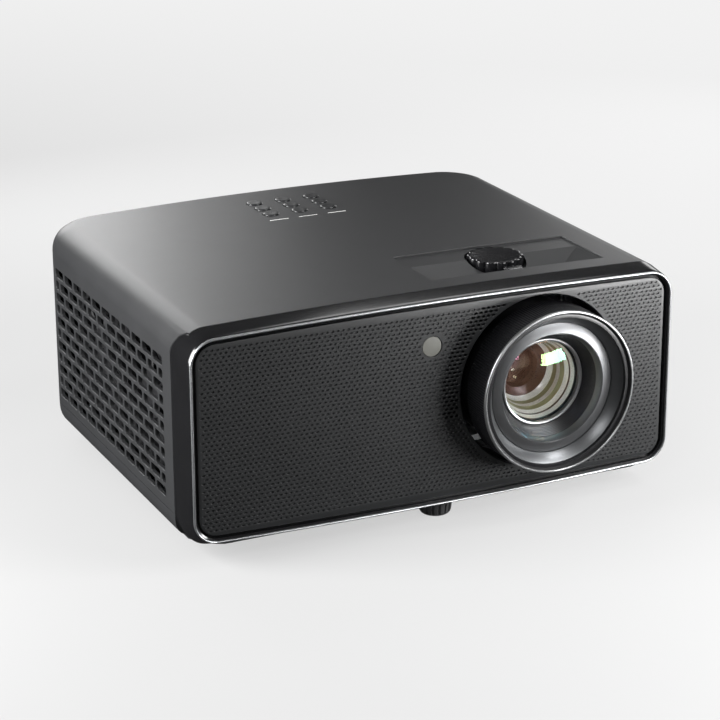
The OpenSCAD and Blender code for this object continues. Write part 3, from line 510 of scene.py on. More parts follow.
def recess_cut(grow):
    """The pocket in the top: a shallow shelf, then a floor that falls toward the front between its ends."""
    r = RECESS
    x0, x1, f0, f1 = r["x0"] - grow, r["x1"] + grow, r["f0"] - grow, r["f1"] + grow
    back, shelf, front, over = r["back"] + grow, r["shelf"], r["front"] - grow, TOP + 3
    s0, s1 = [top_height(r[k]) - r["shelf_drop"] - grow for k in ("x0", "x1")]
    tilt = (s1 - s0) / (x1 - x0)
    low0 = TOP - r["drop"] - grow
    low1 = low0 + tilt * (f1 - f0)
    solid = Solid()
    solid.verts = [
        (x0, back, over), (x1, back, over), (x1, front, over), (x0, front, over),
        (x0, back, s0), (x1, back, s1), (x1, front, s1), (x0, front, s0),
        (x0, shelf, s0), (x1, shelf, s1), (f1, front, low1), (f0, front, low0)]
    solid.faces = [[0, 1, 2, 3], [0, 4, 5, 1], [1, 5, 9, 6, 2], [0, 3, 7, 8, 4], [2, 6, 10, 11, 7, 3],
                   [4, 8, 9, 5], [9, 10, 6], [8, 7, 11], [8, 11, 10, 9]]
    return solid


def recess_lip():
    """Chamfer round the mouth of the pocket, following the arched top."""
    r = RECESS
    n = 16
    solid = Solid()
    rings = []
    for dz, g in [(-1.1, -0.7), (-0.35, 0), (0.6, 0.95)]:
        x0, x1 = r["x0"] - g, r["x1"] + g
        xs = [x0 + (x1 - x0) * i / n for i in range(n + 1)]
        ring = [(x, r["back"] + g, top_height(x) + dz) for x in xs]
        ring += [(x, r["front"] - g, top_height(x) + dz) for x in reversed(xs)]
        rings.append(ring)
    return solid.loft(rings)


KEY_NODES = ["key_menu", "key_power", "key_source", "key_left", "key_enter", "key_right",
             "key_back", "key_down", "key_info"]
DIAL = middle("shift_dial")
DIAL_R = node_box("shift_dial")[1].x - DIAL.x
KEY_R = 5.4
BAR_HALF = 7
IO_LOW, IO_HIGH = node_box("rear_io_panel")


def trim_to_seam(cover):
    """Cuts the cover back to the seam, with a small chamfer along its outside."""
    ahead = [(TONGUE - 9, TOP + 9), (TONGUE - 9, 0), (BEZEL_D + SEAM, 0)]
    cut(cover, seam_prism(ahead + seam_line(SEAM) + [(TONGUE + SEAM, TOP + 9)]))
    chamfer = SEAM + 0.35
    edge = seam_prism(ahead[:2] + [(BEZEL_D + chamfer, 0)] + seam_line(chamfer)
                      + [(TONGUE + chamfer, TOP + 9)]).mesh("edge")
    combine(edge, cover_form(TONGUE - 4, 0.3, SPLIT - 5).mesh("inside"), "DIFFERENCE")
    combine(cover, edge, "DIFFERENCE")


def sink_pocket(cover, front):
    """Adds the pocket's walls under the top, then opens it and chamfers its mouth."""
    pan = recess_cut(WALL).mesh("pan")
    combine(pan, cover_form(front, 0.05, SPLIT).mesh("cut"), "INTERSECT")
    combine(cover, pan, "UNION")
    cut(cover, recess_cut(0))
    cut(cover, recess_lip())


def bar_places():
    """Middles of the three indicator bars across the top."""
    low, high = node_box("indicator_bars")
    return [k * (high.x - low.x - 2 * BAR_HALF) / 2 for k in (-1, 0, 1)]


def cover_holes():
    """Side vents, key holes and indicator slots."""
    holes = Solid()
    for side in (-1, 1):
        side_vents(holes, side)
    for node in KEY_NODES:
        place = middle(node)
        round_hole(holes, place.x, place.y, KEY_R + 0.3, TOP - 10, 0.3)
    low, high = node_box("indicator_bars")
    reach = BAR_HALF + 0.1
    for x in bar_places():
        holes.box((x - reach, low.y - 0.1, TOP - 8), (x + reach, high.y + 0.1, TOP + 3))
    return holes


def dial_hole():
    """Round hole for the dial, with a chamfered mouth at the shelf."""
    shelf = TOP - RECESS["shelf_drop"]
    levels = [(TOP - 20, 0), (shelf - 0.5, 0), (shelf + 0.4, 0.9), (TOP + 3, 0.9)]
    return Solid().loft([[(DIAL.x + u, DIAL.y + v, z) for u, v in circle(DIAL_R + 2 + g, 96)]
                         for z, g in levels])


def lever_slot():
    """Slot in the pocket's floor along which the lever slides."""
    low, high = node_box("zoom_ring")
    half = 19
    return Solid().box((LENS_X - half, low.y + 0.5, TOP - 20), (LENS_X + half, high.y - 0.5, TOP + 3), 1.5)


def rear_opening():
    """Opening in the rear wall for the port panel."""
    gap = 0.6
    outline = rounded_rect(IO_HIGH.x - IO_LOW.x + gap, IO_HIGH.z - IO_LOW.z + gap, 3)
    cx, cz = (IO_HIGH.x + IO_LOW.x) / 2, (IO_HIGH.z + IO_LOW.z) / 2
    rings = [[(cx + u, y, cz + v) for u, v in outline] for y in (IO_LOW.y - 20, BACK + 5)]
    return Solid().loft(rings)


def top_cover():
    """Upper housing with its vents, control pocket, key holes and rear opening."""
    front = TONGUE + SEAM
    cover = cover_form(front, 0, SPLIT, [(-0.4, SPLIT), (0, SPLIT + 0.4)]).mesh("top_cover")
    cut(cover, cover_form(front - 5, WALL, SPLIT - 5))
    trim_to_seam(cover)
    sink_pocket(cover, front)
    for opening in (cover_holes, dial_hole, lever_slot, rear_opening):
        cut(cover, opening())
    finish_piece(cover, "housing_plastic", "chassis", ["top_housing"], 14)


def tray_ring(front, inset, z):
    """Plan outline of the lower tray at a height."""
    left, bow, right = plan_edge(front, lambda share: inset)
    return [(x, y, z) for x, y, _ in left + bow + right]


FEET = ["front_foot", "rear_left_foot", "rear_right_foot"]
MOUNTS = [(sx * 110, 140 + sy * 60) for sx in (-1, 1) for sy in (-1, 1)]
COVER_SCREWS = [(sx * (HALF_W - 22), y) for sx in (-1, 1) for y in (48, BACK - 35)]
TRAY_INSET = 12


def tray_rings(front, wall, high):
    """Sides of the tray, rounded under, from its flat bottom up to a height."""
    steps = 8
    rings = []
    for a in [math.pi / 2 * i / steps for i in range(steps + 1)]:
        z = KEEL + wall + (SPLIT - KEEL - wall) * (1 - math.cos(a)) ** 1.1
        rings.append(tray_ring(front, wall + TRAY_INSET * (1 - math.sin(a)) ** 1.4, z))
    return rings + [tray_ring(front, wall, high)]


def tray_nose():
    """Front of the tray, curving up under the bezel with round plan corners."""
    corner = [(17, 0), (12.5, 2), (9, 5), (3, 12), (0, 17)]
    steps = 6
    rings = []
    for share in [i / steps for i in range(steps + 1)]:
        a = math.pi / 2 * share
        side, front = TRAY_INSET - 7 * math.sin(a), 11 - 5 * math.sin(a)
        z = KEEL + (FACE_LOW - 0.3 - KEEL) * (1 - math.cos(a))
        x = HALF_W - side
        left = [(-x, BEZEL_D + 6, z)] + [(-x + dx, front + dy, z) for dx, dy in reversed(corner)]
        rings.append(left + [(-px, py, pz) for px, py, pz in reversed(left)])
    nose = Solid().loft(rings).mesh("nose")
    lowered = Solid().loft([[(px, py, pz - 0.3) for px, py, pz in ring] for ring in band_form(0)])
    cut(nose, lowered)
    clear = Solid().box((-HALF_W, BEZEL_D + SEAM, KEEL + WALL), (HALF_W, BEZEL_D + 40, SPLIT + 1))
    return cut(nose, clear)


def tray_bosses():
    """Posts round the foot studs with their collars underneath, and posts round the mount holes."""
    bosses = Solid()
    post_top = 36.9
    post = [(0, KEEL + 0.5), (7.4, KEEL + 0.5), (7.4, post_top), (0, post_top)]
    mount = [(0, KEEL + 0.3), (5, KEEL + 0.3), (5, KEEL + 11), (0, KEEL + 11)]
    collar = [(0, KEEL - 0.4), (11, KEEL - 0.4), (12, KEEL + 0.5), (12, KEEL + 2), (0, KEEL + 2)]
    for name in FEET:
        place = middle(name + "_stud")
        bosses.lathe(post, about_post(place.x, place.y), 48)
        bosses.lathe(collar, about_post(place.x, place.y), 64)
    for x, y in MOUNTS:
        bosses.lathe(mount, about_post(x, y), 32)
    return bosses.mesh("bosses")


def tray_wells():
    """Stud bores, mount holes, screw wells and two rows of slots, each with a chamfered mouth."""
    wells = Solid()
    bore = [(0, KEEL - 3), (5.2, KEEL - 3), (4.15, KEEL + 0.8), (4.15, 60), (0, 60)]
    mount = [(0, KEEL - 3), (3.4, KEEL - 3), (3.4, KEEL + 0.5), (2.1, KEEL + 0.9), (2.1, KEEL + 9),
             (0, KEEL + 9)]
    well = [(0, KEEL - 3), (4.4, KEEL - 3), (3.6, KEEL + 0.8), (3.6, SPLIT - 5), (0, SPLIT - 5)]
    for name in FEET:
        place = middle(name + "_stud")
        wells.lathe(bore, about_post(place.x, place.y), 48)
    for x, y in MOUNTS:
        wells.lathe(mount, about_post(x, y), 32)
    for x, y in COVER_SCREWS:
        wells.lathe(well, about_post(x, y), 32)
    slot_half, slot_pitch = 1.2, 5
    for side in (-1, 1):
        for k in range(-5, 6):
            x = side * 60 + k * slot_pitch
            wells.box((x - slot_half, 80, KEEL - 3), (x + slot_half, 140, KEEL + 8), 1.1)
    return wells


def bottom_cover():
    """Lower tray with its nose, bosses, mount holes, screw wells and vents."""
    front = BEZEL_D + SEAM
    body = Solid().loft(tray_rings(front, 0, SPLIT - 0.02)[:-1] + [tray_ring(front, 0.35, SPLIT)])
    tray = body.mesh("bottom_cover")
    cut(tray, Solid().loft(tray_rings(BEZEL_D - 3, WALL, SPLIT + 5)))
    combine(tray, tray_nose(), "UNION")
    combine(tray, tray_bosses(), "UNION")
    cut(tray, tray_wells())
    finish_piece(tray, "housing_plastic", "chassis", ["bottom_housing"])


def front_bezel():
    """Glossy band round the front, with its rounded front edge and the ledge behind the panel."""
    rings = band_form(0)
    ledge = PANEL_BACK + 0.05
    inner = [(3.2, BEZEL_D), (3.2, ledge + 2.5), (10, ledge + 2.5), (10, ledge), (3.2, ledge), (3.2, 2.2),
             (2.1, 1.75), (2.0, 1.5)]
    rings += [face_ring(y, inset) for inset, y in inner]
    bezel = Solid().loft(rings, closed=True).mesh("bezel_band")
    r, back = LENS_HOLE_R + 2.3, BEZEL_D + 2
    round_lens = Solid().lathe([(0, PANEL_Y), (r, PANEL_Y), (r, back), (0, back)], about_lens, 96)
    cut(bezel, round_lens)
    foot = middle("front_foot_stud")
    post = Solid().lathe([(0, KEEL - 2), (7.9, KEEL - 2), (7.9, FACE_LOW + 8), (0, FACE_LOW + 8)],
                         about_post(foot.x, foot.y), 48)
    cut(bezel, post)
    above = [(TONGUE, TOP + 9), (BEZEL_D + 9, TOP + 9), (BEZEL_D + 9, TOP - 20)]
    cut(bezel, seam_prism(seam_line(0) + above))
    edge = seam_prism([(y - 0.3, z - 0.3) for y, z in seam_line(0)] + [(TONGUE - 0.3, TOP + 9)] + above[1:])
    edge = edge.mesh("edge")
    combine(edge, Solid().loft(band_form(-0.3)).mesh("inside"), "DIFFERENCE")
    combine(bezel, edge, "DIFFERENCE")
    finish_piece(bezel, "gloss_bezel", "chassis", ["front_bezel"])


def rim_trim():
    """Bright wire round the front edge, rounded in section."""
    section = [(0.6, 1.45), (0.6, 0.75), (0.72, 0.35), (1.0, 0.08), (1.3, 0.0), (1.6, 0.08), (1.88, 0.35),
               (2.0, 0.75), (2.0, 1.45)]
    trim = Solid().loft([face_ring(y, inset) for inset, y in section], closed=True)
    finish_piece(trim.mesh("rim_wire"), "rim_metal", "chassis", ["rim_trim"], 50)


IR = middle("ir_window")
IR_R = 6.7
PANEL_INSET = 5
DOT_PITCH = 3.6
DOT_ROW = 2.65


def panel_dots():
    """Oval dimples in offset rows; beside the lens they are larger and go right through."""
    dots = Solid()
    outline_in = PANEL_INSET + 2.2
    rows = int((FACE_H - 2 * outline_in) / DOT_ROW)
    for i in range(rows + 1):
        z = FACE_LOW + FACE_H / 2 + (i - rows / 2) * DOT_ROW
        columns = int(HALF_W / DOT_PITCH)
        for j in range(-columns, columns + 1):
            x = (j + 0.5 * (i % 2)) * DOT_PITCH
            across = math.hypot(x - LENS_X, z - LENS_Z)
            if across < LENS_HOLE_R + 2.2 or math.hypot(x - IR.x, z - IR.z) < IR_R + 2.2:
                continue
            corner_x = max(abs(x) - (HALF_W - FACE_R), 0)
            corner_z = max(abs(z - FACE_LOW - FACE_H / 2) - (FACE_H / 2 - SAG - FACE_R), 0)
            if math.hypot(corner_x, corner_z) > FACE_R - outline_in + 0.6:
                continue
            through = across < LENS_HOLE_R + 13 and x < LENS_X - 20 and z > LENS_Z - 16
            w, h = (1.45, 0.88) if through else (1.3, 0.76)
            depth = 4 if through else 0.75
            rings = []
            for y, size in [(depth, 0.75), (0.12, 1.0), (-0.12, 1.28)]:
                rings.append([(x + u * w * size, PANEL_Y + y, z + v * h * size) for u, v in circle(1, 8)])
            dots.loft(rings)
    return dots


def front_panel():
    """Dimpled panel with a chamfered edge, the lens opening and the receiver's hole."""
    edge = [(PANEL_INSET + 0.5, PANEL_Y), (PANEL_INSET + 0.12, PANEL_Y + 0.12), (PANEL_INSET, PANEL_Y + 0.5),
            (PANEL_INSET, PANEL_BACK)]
    panel = Solid().loft([face_ring(y, inset) for inset, y in edge]).mesh("grille_panel")
    hole = Solid().lathe([(0, PANEL_Y - 1), (LENS_HOLE_R + 0.9, PANEL_Y - 0.3), (LENS_HOLE_R, PANEL_Y + 0.6),
                          (LENS_HOLE_R, PANEL_BACK + 2), (0, PANEL_BACK + 2)], about_lens, 160)
    hole.lathe([(0, PANEL_Y - 1), (IR_R + 0.55, PANEL_Y - 0.2), (IR_R + 0.15, PANEL_Y + 0.25),
                (IR_R + 0.15, PANEL_BACK + 2), (0, PANEL_BACK + 2)], about_window, 64)
    cut(panel, hole)
    cut(panel, panel_dots())
    finish_piece(panel, "panel_plastic", "chassis", ["front_panel"])


def receiver_window():
    """Infrared window: a matt disc with a softly rounded rim."""
    y = PANEL_Y + 0.3
    profile = [(0, y), (IR_R - 0.7, y), (IR_R - 0.25, y + 0.12), (IR_R, y + 0.5), (IR_R, PANEL_BACK + 0.05),
               (IR_R + 2, PANEL_BACK + 0.05), (IR_R + 2, PANEL_BACK + 1.5), (0, PANEL_BACK + 1.5)]
    disc = Solid().lathe(profile, about_window, 64).mesh("receiver_window")
    finish_piece(disc, "ir_plastic", "chassis", ["ir_window"])


# ---- Lens ----
CELL_FACE = -LENS_OUT + 11
GLASS_FACE = CELL_FACE + 11.6


def ribbed_grip():
    """Focus ring with fine round ribs from its back edge to just behind the bright rim."""
    ribs, around = 200, 6
    front, back = -LENS_OUT + 2.3, node_box("focus_ring")[1].y
    inner = LENS_R - 5

    def ring(y, r, height):
        out = []
        for k in range(ribs * around):
            a = 2 * math.pi * k / (ribs * around)
            wave = 0.5 + 0.5 * math.cos(2 * math.pi * (k % around) / around)
            rr = r - height * (1 - wave)
            out.append((LENS_X + rr * math.cos(a), y, LENS_Z + rr * math.sin(a)))
        return out

    r = LENS_R - 0.15
    rings = [ring(front, r - 0.9, 0), ring(front + 0.25, r - 0.35, 0), ring(front + 0.9, r - 0.3, 0),
             ring(front + 1.5, r, 0.62), ring(back - 0.8, r, 0.62), ring(back - 0.2, r - 0.5, 0.1),
             ring(back, r - 1.0, 0), ring(back, inner, 0), ring(front, inner, 0)]
    grip = Solid().loft(rings, closed=True)
    finish_piece(grip.mesh("focus_grip"), "ring_black", "focus", ["focus_ring"], 60)


def lens_front():
    """Front of the focus ring: bright rim, black lip and satin cone."""
    y, r = -LENS_OUT, LENS_R
    rim = [(r - 1.0, y + 2.2), (r - 0.1, y + 2.2), (r, y + 1.9), (r, y + 0.9), (r - 0.18, y + 0.42),
           (r - 0.55, y + 0.1), (r - 1.0, y), (r - 1.4, y + 0.06), (r - 1.65, y + 0.35)]
    lip = [(r - 1.0, y + 2.3), (r - 1.7, y + 0.4), (r - 2.0, y + 0.55), (r - 4.2, y + 4.6),
           (r - 4.7, y + 4.7), (r - 4.7, y + 5.4), (r - 4, y + 7), (r - 1.0, y + 7)]
    cone = [(r - 4.75, y + 4.75), (r - 5.0, y + 4.9), (r - 10.2, y + 10.5), (r - 10.4, y + 10.9),
            (r - 10.4, y + 12.4), (r - 8.4, y + 12.8), (r - 5.1, y + 10), (r - 4.75, y + 6)]
    pieces = [("lens_rim", rim, "satin_bright", ["lens_front_rim"], "satin_ring"),
              ("lens_lip", lip, "lens_black", [], "lens_black"),
              ("lens_cone", cone, "satin_ring", [], "satin_ring")]
    for name, profile, material, nodes, slot in pieces:
        made = Solid().lathe(profile, about_lens, 192).mesh(name)
        finish_piece(made, material, "focus", nodes)


def stepped_baffle(wide, face):
    """Profile of the conical baffle, whose inside goes down in small light-trapping steps."""
    steps, depth = 9, 9.6
    narrow = GLASS_R + 2.2
    profile = [(wide, face + 3.5)]
    for i in range(steps):
        share = (i + 1) / steps
        r = wide - (wide - narrow) * share
        y = face + 3.5 + depth * share
        profile += [(r + 0.25, y - 0.15), (r, y)]
    return profile + [(narrow, face + 16), (wide, face + 16)]


def lens_inside():
    """What stands inside the lens mouth: flat ring, collar, baffle and the ring that holds the glass."""
    r = LENS_R
    ring = [(r - 10.9, CELL_FACE + 0.1), (r - 11.2, CELL_FACE - 0.1), (r - 17.3, CELL_FACE - 1.15),
            (r - 17.5, CELL_FACE - 0.9), (r - 17.5, CELL_FACE + 4), (r - 7.5, CELL_FACE + 4),
            (r - 7.5, CELL_FACE + 2.7), (r - 10.9, CELL_FACE + 2.7)]
    collar = [(r - 17.6, CELL_FACE - 0.6), (r - 17.8, CELL_FACE - 0.7), (r - 19.6, CELL_FACE + 3.4),
              (r - 19.6, CELL_FACE + 5), (r - 17.6, CELL_FACE + 5)]
    g, y = GLASS_R, GLASS_FACE
    retainer = [(g + 0.2, y + 2.6), (g, y + 0.9), (g + 0.5, y + 0.2), (g + 1.1, y), (g + 1.8, y + 0.25),
                (g + 2.1, y + 0.9), (g + 2.1, y + 5), (g + 0.9, y + 5), (g + 0.9, y + 2.8)]
    pieces = [("name_ring", ring, "satin_dark", ["lens_front_ring"], "lens_black"),
              ("baffle_collar", collar, "satin_ring", [], "satin_ring"),
              ("lens_baffle_cone", stepped_baffle(r - 19.65, CELL_FACE), "baffle_black", ["lens_baffle"],
               "lens_black"),
              ("glass_retainer", retainer, "satin_bright", ["lens_retainer"], "satin_ring")]
    for name, profile, material, nodes, slot in pieces:
        made = Solid().lathe(profile, about_lens, 160).mesh(name)
        finish_piece(made, material, "carriage", nodes)


def front_element():
    """The domed, coated front glass."""
    section = dome_lens(GLASS_R + 0.1, GLASS_FACE + 3.6, 4.2, 1.1, 2.6)
    made = Solid().lathe(section, about_lens, 128).mesh("front_element")
    finish_piece(made, "lens_glass", "carriage", ["front_lens"], 60)


def lens_cells():
    """Stepped cells behind the glass, pale, green or dark, ending at the small rear glass; the pale rings
    carry a painted highlight and the green rings a painted green reflection.
    """
    # Pale steps are a painted highlight, green steps a painted green reflection.
    steps = [(GLASS_R + 0.8, "cell_dark"), (26.2, "cell_painted_highlight"), (24.6, "cell_dark"), (24.2, "cell_painted_highlight"),
             (22.6, "cell_painted_green_reflection"), (21.2, "cell_painted_highlight"), (20.6, "cell_painted_green_reflection"), (19.8, "cell_painted_highlight"),
             (17.6, "cell_brown"), (13.0, "cell_brown"), (11.5, "cell_dark")]
    depth = GLASS_FACE + 5.2
    span = (GLASS_FACE + 30 - depth) / (len(steps) - 3)
    groups = {}
    for (r0, kind), (r1, _) in zip(steps, steps[1:]):
        back = depth + span * (0.5 if "dark" in kind else 1.0)
        outer = r0 + 1.2
        profile = [(r0, depth), (r1 + 0.25 * (r0 - r1), back - 0.35), (r1, back), (outer, back),
                   (outer, depth)]
        groups.setdefault(kind, Solid()).lathe(profile, about_lens, 128)
        depth = back + 0.02
    for kind, solid in groups.items():
        nodes = ["zoom_lens"] if kind == "cell_painted_highlight" else []
        finish_piece(solid.mesh("lens_" + kind), kind, "carriage", nodes)
    rear = Solid().lathe(dome_lens(11.4, depth + 1.5, 3.2, 1.0, -1.0), about_lens, 96).mesh("zoom_element")
    finish_piece(rear, "amber_glass", "carriage", [], 60)
    plate = Solid().lathe([(0, depth + 6), (20, depth + 6), (20, depth + 7), (0, depth + 7)], about_lens, 64)
    finish_piece(plate.mesh("iris_plate"), "cell_brown", "carriage", [])


def dome_lens(r, edge_y, rise, thick, back_rise, n=16):
    """Half section of a lens: domed front of given rise, an edge, and a back of given rise."""
    front = [(r * i / n, edge_y - rise * (1 - (i / n) ** 2)) for i in range(n + 1)]
    back = [(r * i / n, edge_y + thick - back_rise * (1 - (i / n) ** 2)) for i in range(n, -1, -1)]
    return front + back


def shroud():
    """Black tube behind the panel, round the lens."""
    front, back, outer = PANEL_BACK + 0.1, BEZEL_D - 1, LENS_HOLE_R + 2
    profile = [(LENS_HOLE_R, front), (outer, front), (outer, back)]
    grooves = 12
    for i in range(grooves):
        y = BEZEL_D - 1 - (BEZEL_D - PANEL_BACK - 2) * i / grooves
        profile += [(LENS_HOLE_R, y), (LENS_HOLE_R + 0.35, y - 0.5)]
    made = Solid().lathe(profile, about_lens, 128).mesh("lens_shroud_tube")
    finish_piece(made, "lens_black", "chassis", ["lens_shroud"])


# ---- Controls ----
def shift_dial():
    """Knob with deep round scallops and a flat top with a soft edge."""
    lobes, around = 14, 16
    low, high = node_box("shift_dial")
    n = lobes * around

    def ring(z, inset, deep):
        out = []
        for k in range(n):
            a = 2 * math.pi * k / n
            wave = abs(math.cos(a * lobes / 2)) ** 0.8
            r = DIAL_R - inset - deep * (1 - wave)
            out.append((DIAL.x + r * math.cos(a), DIAL.y + r * math.sin(a), z))
        return out

    levels = [(low.z, 0.5, 1.7), (low.z + 0.5, 0, 1.7), (high.z - 1.0, 0, 1.7), (high.z - 0.5, 0.14, 1.65),
              (high.z - 0.15, 0.5, 1.5), (high.z, 1.1, 1.2), (high.z, 2.4, 0.7), (high.z - 0.12, 3.2, 0.2)]
    knob = Solid()
    made = [knob.ring(ring(*level)) for level in levels]
    for a, b in zip(made, made[1:]):
        knob.bridge(a, b)
    centre = knob.ring([(DIAL.x, DIAL.y, high.z - 0.12)])
    knob.bridge(made[-1], centre)
    knob.faces.append(made[0])
    finish_piece(knob.mesh("dial_knob"), "dial_black", "dial", ["shift_dial"], 50)


def zoom_lever():
    """Ring on the barrel, and the lever whose tab stands in the pocket."""
    low, high = node_box("zoom_ring")
    cell = LENS_R - 14
    profile = [(cell + 0.1, low.y), (cell + 3.1, low.y), (cell + 3.5, low.y + 0.4),
               (cell + 3.5, high.y - 0.4), (cell + 3.1, high.y), (cell + 0.1, high.y)]
    ring = Solid().lathe(profile, about_lens, 128)
    ring.box((LENS_X - 3, low.y + 1.5, LENS_Z + cell + 2), (LENS_X + 3, low.y + 6, high.z - 3), 0.6)
    half, thick, rise, r = 6.5, 5.5, 5.0, 2
    outline = ([(-half, 0)] + arc(-half + r, rise - r, r, 180, 90, 6) + arc(half - r, rise - r, r, 90, 0, 6)
               + [(half, 0)])
    rings = []
    cz = high.z - rise / 2
    levels = [(0, 0.55), (0.12, 0.28), (0.5, 0), (thick - 0.5, 0), (thick - 0.12, 0.28), (thick, 0.55)]
    for y, g in levels:
        rings.append([(LENS_X + u * (1 - g / half), low.y + 1 + y, cz + (v - rise / 2) * (1 - 2 * g / rise))
                      for u, v in outline])
    tab = Solid().loft(rings)
    finish_piece(ring.mesh("zoom_collar"), "ring_black", "zoom", ["zoom_ring"])
    finish_piece(tab.mesh("zoom_tab"), "dial_black", "zoom", [], 40)


def keypad():
    """Nine round keys with soft edges and a slightly dished top."""
    for node in KEY_NODES:
        low, high = node_box(node)
        place = (low + high) / 2
        top = high.z
        profile = [(0, low.z), (2, low.z), (2, TOP - WALL - 2.4), (KEY_R + 1, TOP - WALL - 2.4),
                   (KEY_R + 1, TOP - WALL - 1.2), (KEY_R, TOP - WALL - 1.1), (KEY_R, top - 0.75),
                   (KEY_R - 0.12, top - 0.38), (KEY_R - 0.45, top - 0.1), (KEY_R - 0.95, top),
                   (KEY_R * 0.55, top - 0.12), (0, top - 0.2)]
        key = Solid().lathe(profile, about_post(place.x, place.y), 64).mesh(node + "_cap")
        finish_piece(key, "key_plastic", node + "_cap", [node], 40)


def light_bars():
    """Three white bars in front of the keys."""
    low, high = node_box("indicator_bars")
    bars = Solid()
    for x in bar_places():
        bars.box((x - BAR_HALF, low.y, low.z), (x + BAR_HALF, high.y, TOP + 0.02), 0.25)
    finish_piece(bars.mesh("light_bars"), "indicator_white", "chassis", ["indicator_bars"])


# ---- Feet, screws and the rear ----
def foot_cup(name):
    """Pad of a screw foot: a flared cup with upright grooves."""
    low, high = node_box(name + "_pad")
    place = (low + high) / 2
    r = (high.x - low.x) / 2 - 2
    grooves, around = 16, 10
    n = grooves * around

    def ring(z, radius, deep):
        out = []
        for k in range(n):
            a = 2 * math.pi * k / n
            rr = radius - deep if 3 <= k % around <= 6 else radius
            out.append((place.x + rr * math.cos(a), place.y + rr * math.sin(a), z))
        return out

    h = high.z
    levels = [(0, r - 3.2, 0), (0, r - 2.6, 0), (0.35, r - 1.6, 0), (0.9, r - 0.9, 0), (1.6, r - 0.4, 0),
              (2.0, r - 0.2, 0.8), (3, r, 0.9), (h - 3, r + 0.6, 0.9), (h - 2.2, r + 0.9, 0.5),
              (h - 1.6, r + 1.4, 0), (h - 0.5, r + 1.9, 0), (h - 0.1, r + 1.85, 0), (h, r + 1.5, 0),
              (h, 4.6, 0), (h - 2, 4.6, 0)]
    cup = Solid()
    made = [cup.ring(ring(*level)) for level in levels]
    for a, b in zip(made, made[1:]):
        cup.bridge(a, b)
    cup.faces += [made[0], made[-1]]
    finish_piece(cup.mesh(name + "_cup"), "foot_plastic", name.replace("_foot", "_pad"),
                 [name + "_pad"])


def foot_screw(name):
    """Stud of a screw foot, with its thread as one long helix."""
    place, start = middle(name + "_pad"), node_box(name + "_pad")[1].z
    top = node_box(name + "_stud")[1].z
    turn, pitch, core = 24, 1.5, 3.35
    crest = core + 0.63
    section = ((core, 0), (crest, pitch * 0.35), (crest, pitch * 0.5), (core, pitch * 0.88))
    count = int((top - 8 - start + 2) / pitch * turn)
    put = about_post(place.x, place.y)
    rows = []
    for k in range(count + 1):
        z = start - 1.8 + pitch * k / turn
        rows.append([put(r, z + rise, 2 * math.pi * k / turn) for r, rise in section])
    stud = Solid().loft(rows)
    stud.lathe([(0, start - 2), (3.4, start - 2), (3.4, top - 0.8), (2.6, top), (0, top)], put, 48)
    finish_piece(stud.mesh(name + "_screw"), "steel", name.replace("_foot", "_stud"),
                 [name + "_stud"])


def cross_screws():
    """Cover screws in their wells."""
    screws = Solid()
    z = SPLIT - 7.5
    profile = [(0, z + 0.9), (0.8, z + 0.5), (1.6, z), (2.6, z + 0.1), (3.1, z + 0.7), (3.2, z + 2.4),
               (1.5, z + 2.5), (1.5, SPLIT + 8), (0, SPLIT + 8)]
    for x, y in COVER_SCREWS:
        screws.lathe(profile, about_post(x, y), 32)
    finish_piece(screws.mesh("cover_screws"), "steel", "chassis", ["fasteners"])


def front_nubs():
    """Two shiny nubs under the front corners."""
    nubs = Solid()
    r, steps = 3, 8
    angles = [math.pi / 2 * i / steps for i in range(steps + 1)]
    bowl = [(r * math.sin(a), KEEL - r * math.cos(a)) for a in angles]
    for side in (-1, 1):
        nubs.lathe(bowl + [(r, KEEL + 1), (0, KEEL + 1)], about_post(side * (HALF_W - 30.5), 15), 32)
    finish_piece(nubs.mesh("front_nubs"), "steel", "chassis", [])


for part in frame["record"]["subparts"]:
    for material_slot in frame["nodes"][part["node"]].material_slots:
        material_slot.material = MATERIAL[part["material_slot"]]

top_cover()
bottom_cover()
front_bezel()
rim_trim()
front_panel()
receiver_window()
ribbed_grip()
lens_front()
lens_inside()
front_element()
lens_cells()
shroud()
shift_dial()
zoom_lever()
keypad()
light_bars()
for foot_name in FEET:
    foot_cup(foot_name)
    foot_screw(foot_name)
cross_screws()
front_nubs()


# ---- Stage ----
def area_light(name, place, target, size, power):
    """A soft rectangular light that looks at a target; places in metres."""
    data = bpy.data.lights.new(name, "AREA")
    data.shape = "RECTANGLE"
    data.size, data.size_y = size
    data.energy = power
    obj = bpy.data.objects.new(name, data)
    obj.location = place
    obj.rotation_euler = (Vector(target) - Vector(place)).to_track_quat("-Z", "Y").to_euler()
    obj.visible_camera = False
    bpy.context.scene.collection.objects.link(obj)


def camera(azimuth, elevation, roll, lens, place):
    """Long-lens camera, azimuth measured to the left of the front."""
    data = bpy.data.cameras.new("camera")
    data.lens = lens
    data.sensor_width = 36
    obj = bpy.data.objects.new("camera", data)
    a, e = math.radians(azimuth), math.radians(elevation)
    back = Vector((-math.sin(a) * math.cos(e), -math.cos(a) * math.cos(e), math.sin(e)))
    obj.rotation_mode = "QUATERNION"
    obj.rotation_quaternion = (-back).to_track_quat("-Z", "Y")
    obj.rotation_quaternion.rotate(Quaternion(back, math.radians(roll)))
    obj.location = place
    bpy.context.scene.collection.objects.link(obj)
    bpy.context.scene.camera = obj


GLOW_CENTRE = (-0.81, 0.06, 0)
GLOW_REACH = 2.38
GLOW_NEAR = 0.20
GLOW_FAR = 0.87
FLOOR_HALF = 6000

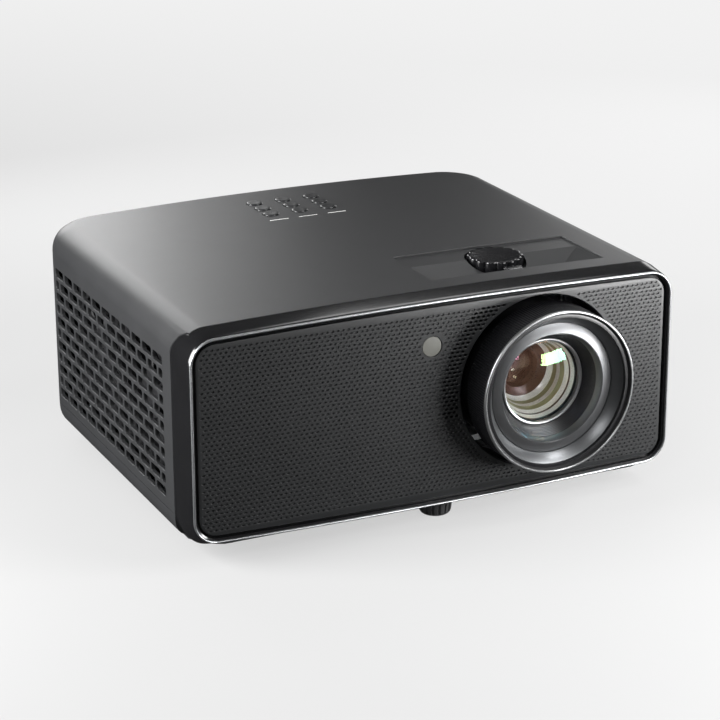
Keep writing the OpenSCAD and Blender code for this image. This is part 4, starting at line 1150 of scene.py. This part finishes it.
# Each light: name, place, target, size, power
LIGHTS = [
    ("rear_left", (-0.10, 0.75, 0.41), (-0.10, 0, 0.15), (0.44, 0.32), 2.9),
    ("rear_fill", (0.19, 0.75, 0.42), (0, 0, 0.15), (0.14, 0.32), 0.2),
    ("rear_right", (0.86, 0.75, 0.42), (0.15, -0.05, 0.15), (0.45, 0.32), 1.1),
    ("side_left", (-0.70, 0, 0.30), (-0.168, -0.05, 0.08), (0.3, 0.5), 14),
    ("front_right", (0.42, -0.60, 0.42), (0.10, -0.13, 0.10), (0.35, 0.25), 4.5),
    ("front_low", (0.50, -0.55, 0.07), (0.15, -0.13, 0.09), (0.4, 0.1), 5),
    ("front_left", (-0.60, -0.90, 0.90), (0, -0.13, 0.08), (0.4, 0.4), 3),
    ("high_right", (0.50, -0.45, 0.95), (0.07, -0.14, 0.09), (0.2, 0.2), 3),
    ("overhead", (0.50, 0.55, 1.0), (0.05, -0.10, 0.15), (0.4, 0.3), 1.2),
]


def math_node(nodes, operation, *values):
    """A Math node whose later inputs hold the given values."""
    node = nodes.new("ShaderNodeMath")
    node.operation = operation
    for socket, value in zip(node.inputs[1:], values):
        socket.default_value = value
    return node


def floor_material():
    """Matt floor that glows a little, more with distance, so that it stays evenly pale."""
    mat, nodes, links, shader = new_material("floor", (0.15, 0.15, 0.15), 0.9, Specular_IOR_Level=0.0,
                                             Emission_Color=(1, 1, 1, 1))
    away = nodes.new("ShaderNodeVectorMath")
    away.operation = "DISTANCE"
    away.inputs[1].default_value = GLOW_CENTRE
    near = nodes.new("ShaderNodeMapRange")
    near.inputs["From Max"].default_value = GLOW_REACH
    near.inputs["To Min"].default_value = 1
    near.inputs["To Max"].default_value = 0
    square = math_node(nodes, "POWER", 2)
    glow = math_node(nodes, "MULTIPLY_ADD", GLOW_NEAR - GLOW_FAR, GLOW_FAR)
    links.new(nodes.new("ShaderNodeTexCoord").outputs["Object"], away.inputs[0])
    links.new(away.outputs["Value"], near.inputs["Value"])
    links.new(near.outputs["Result"], square.inputs[0])
    links.new(square.outputs[0], glow.inputs[0])
    links.new(glow.outputs[0], shader.inputs["Emission Strength"])
    return mat


def stage():
    """Plain pale floor, faint surroundings, and soft studio lights."""
    floor = Solid().box((-FLOOR_HALF, -FLOOR_HALF, -1), (FLOOR_HALF, FLOOR_HALF, 0)).mesh("floor")
    floor.data.materials.append(floor_material())
    floor.visible_glossy = False
    world = bpy.data.worlds.new("studio")
    world.use_nodes = True
    background = world.node_tree.nodes["Background"]
    background.inputs["Color"].default_value = (0.9, 0.9, 0.9, 1)
    background.inputs["Strength"].default_value = 0.03
    scene = bpy.context.scene
    scene.world = world
    scene.view_settings.view_transform = "Standard"
    for light in LIGHTS:
        area_light(*light)


camera(25.3, 19.53, -0.18, 120, (-0.6493, -1.3849, 0.6145))
stage()
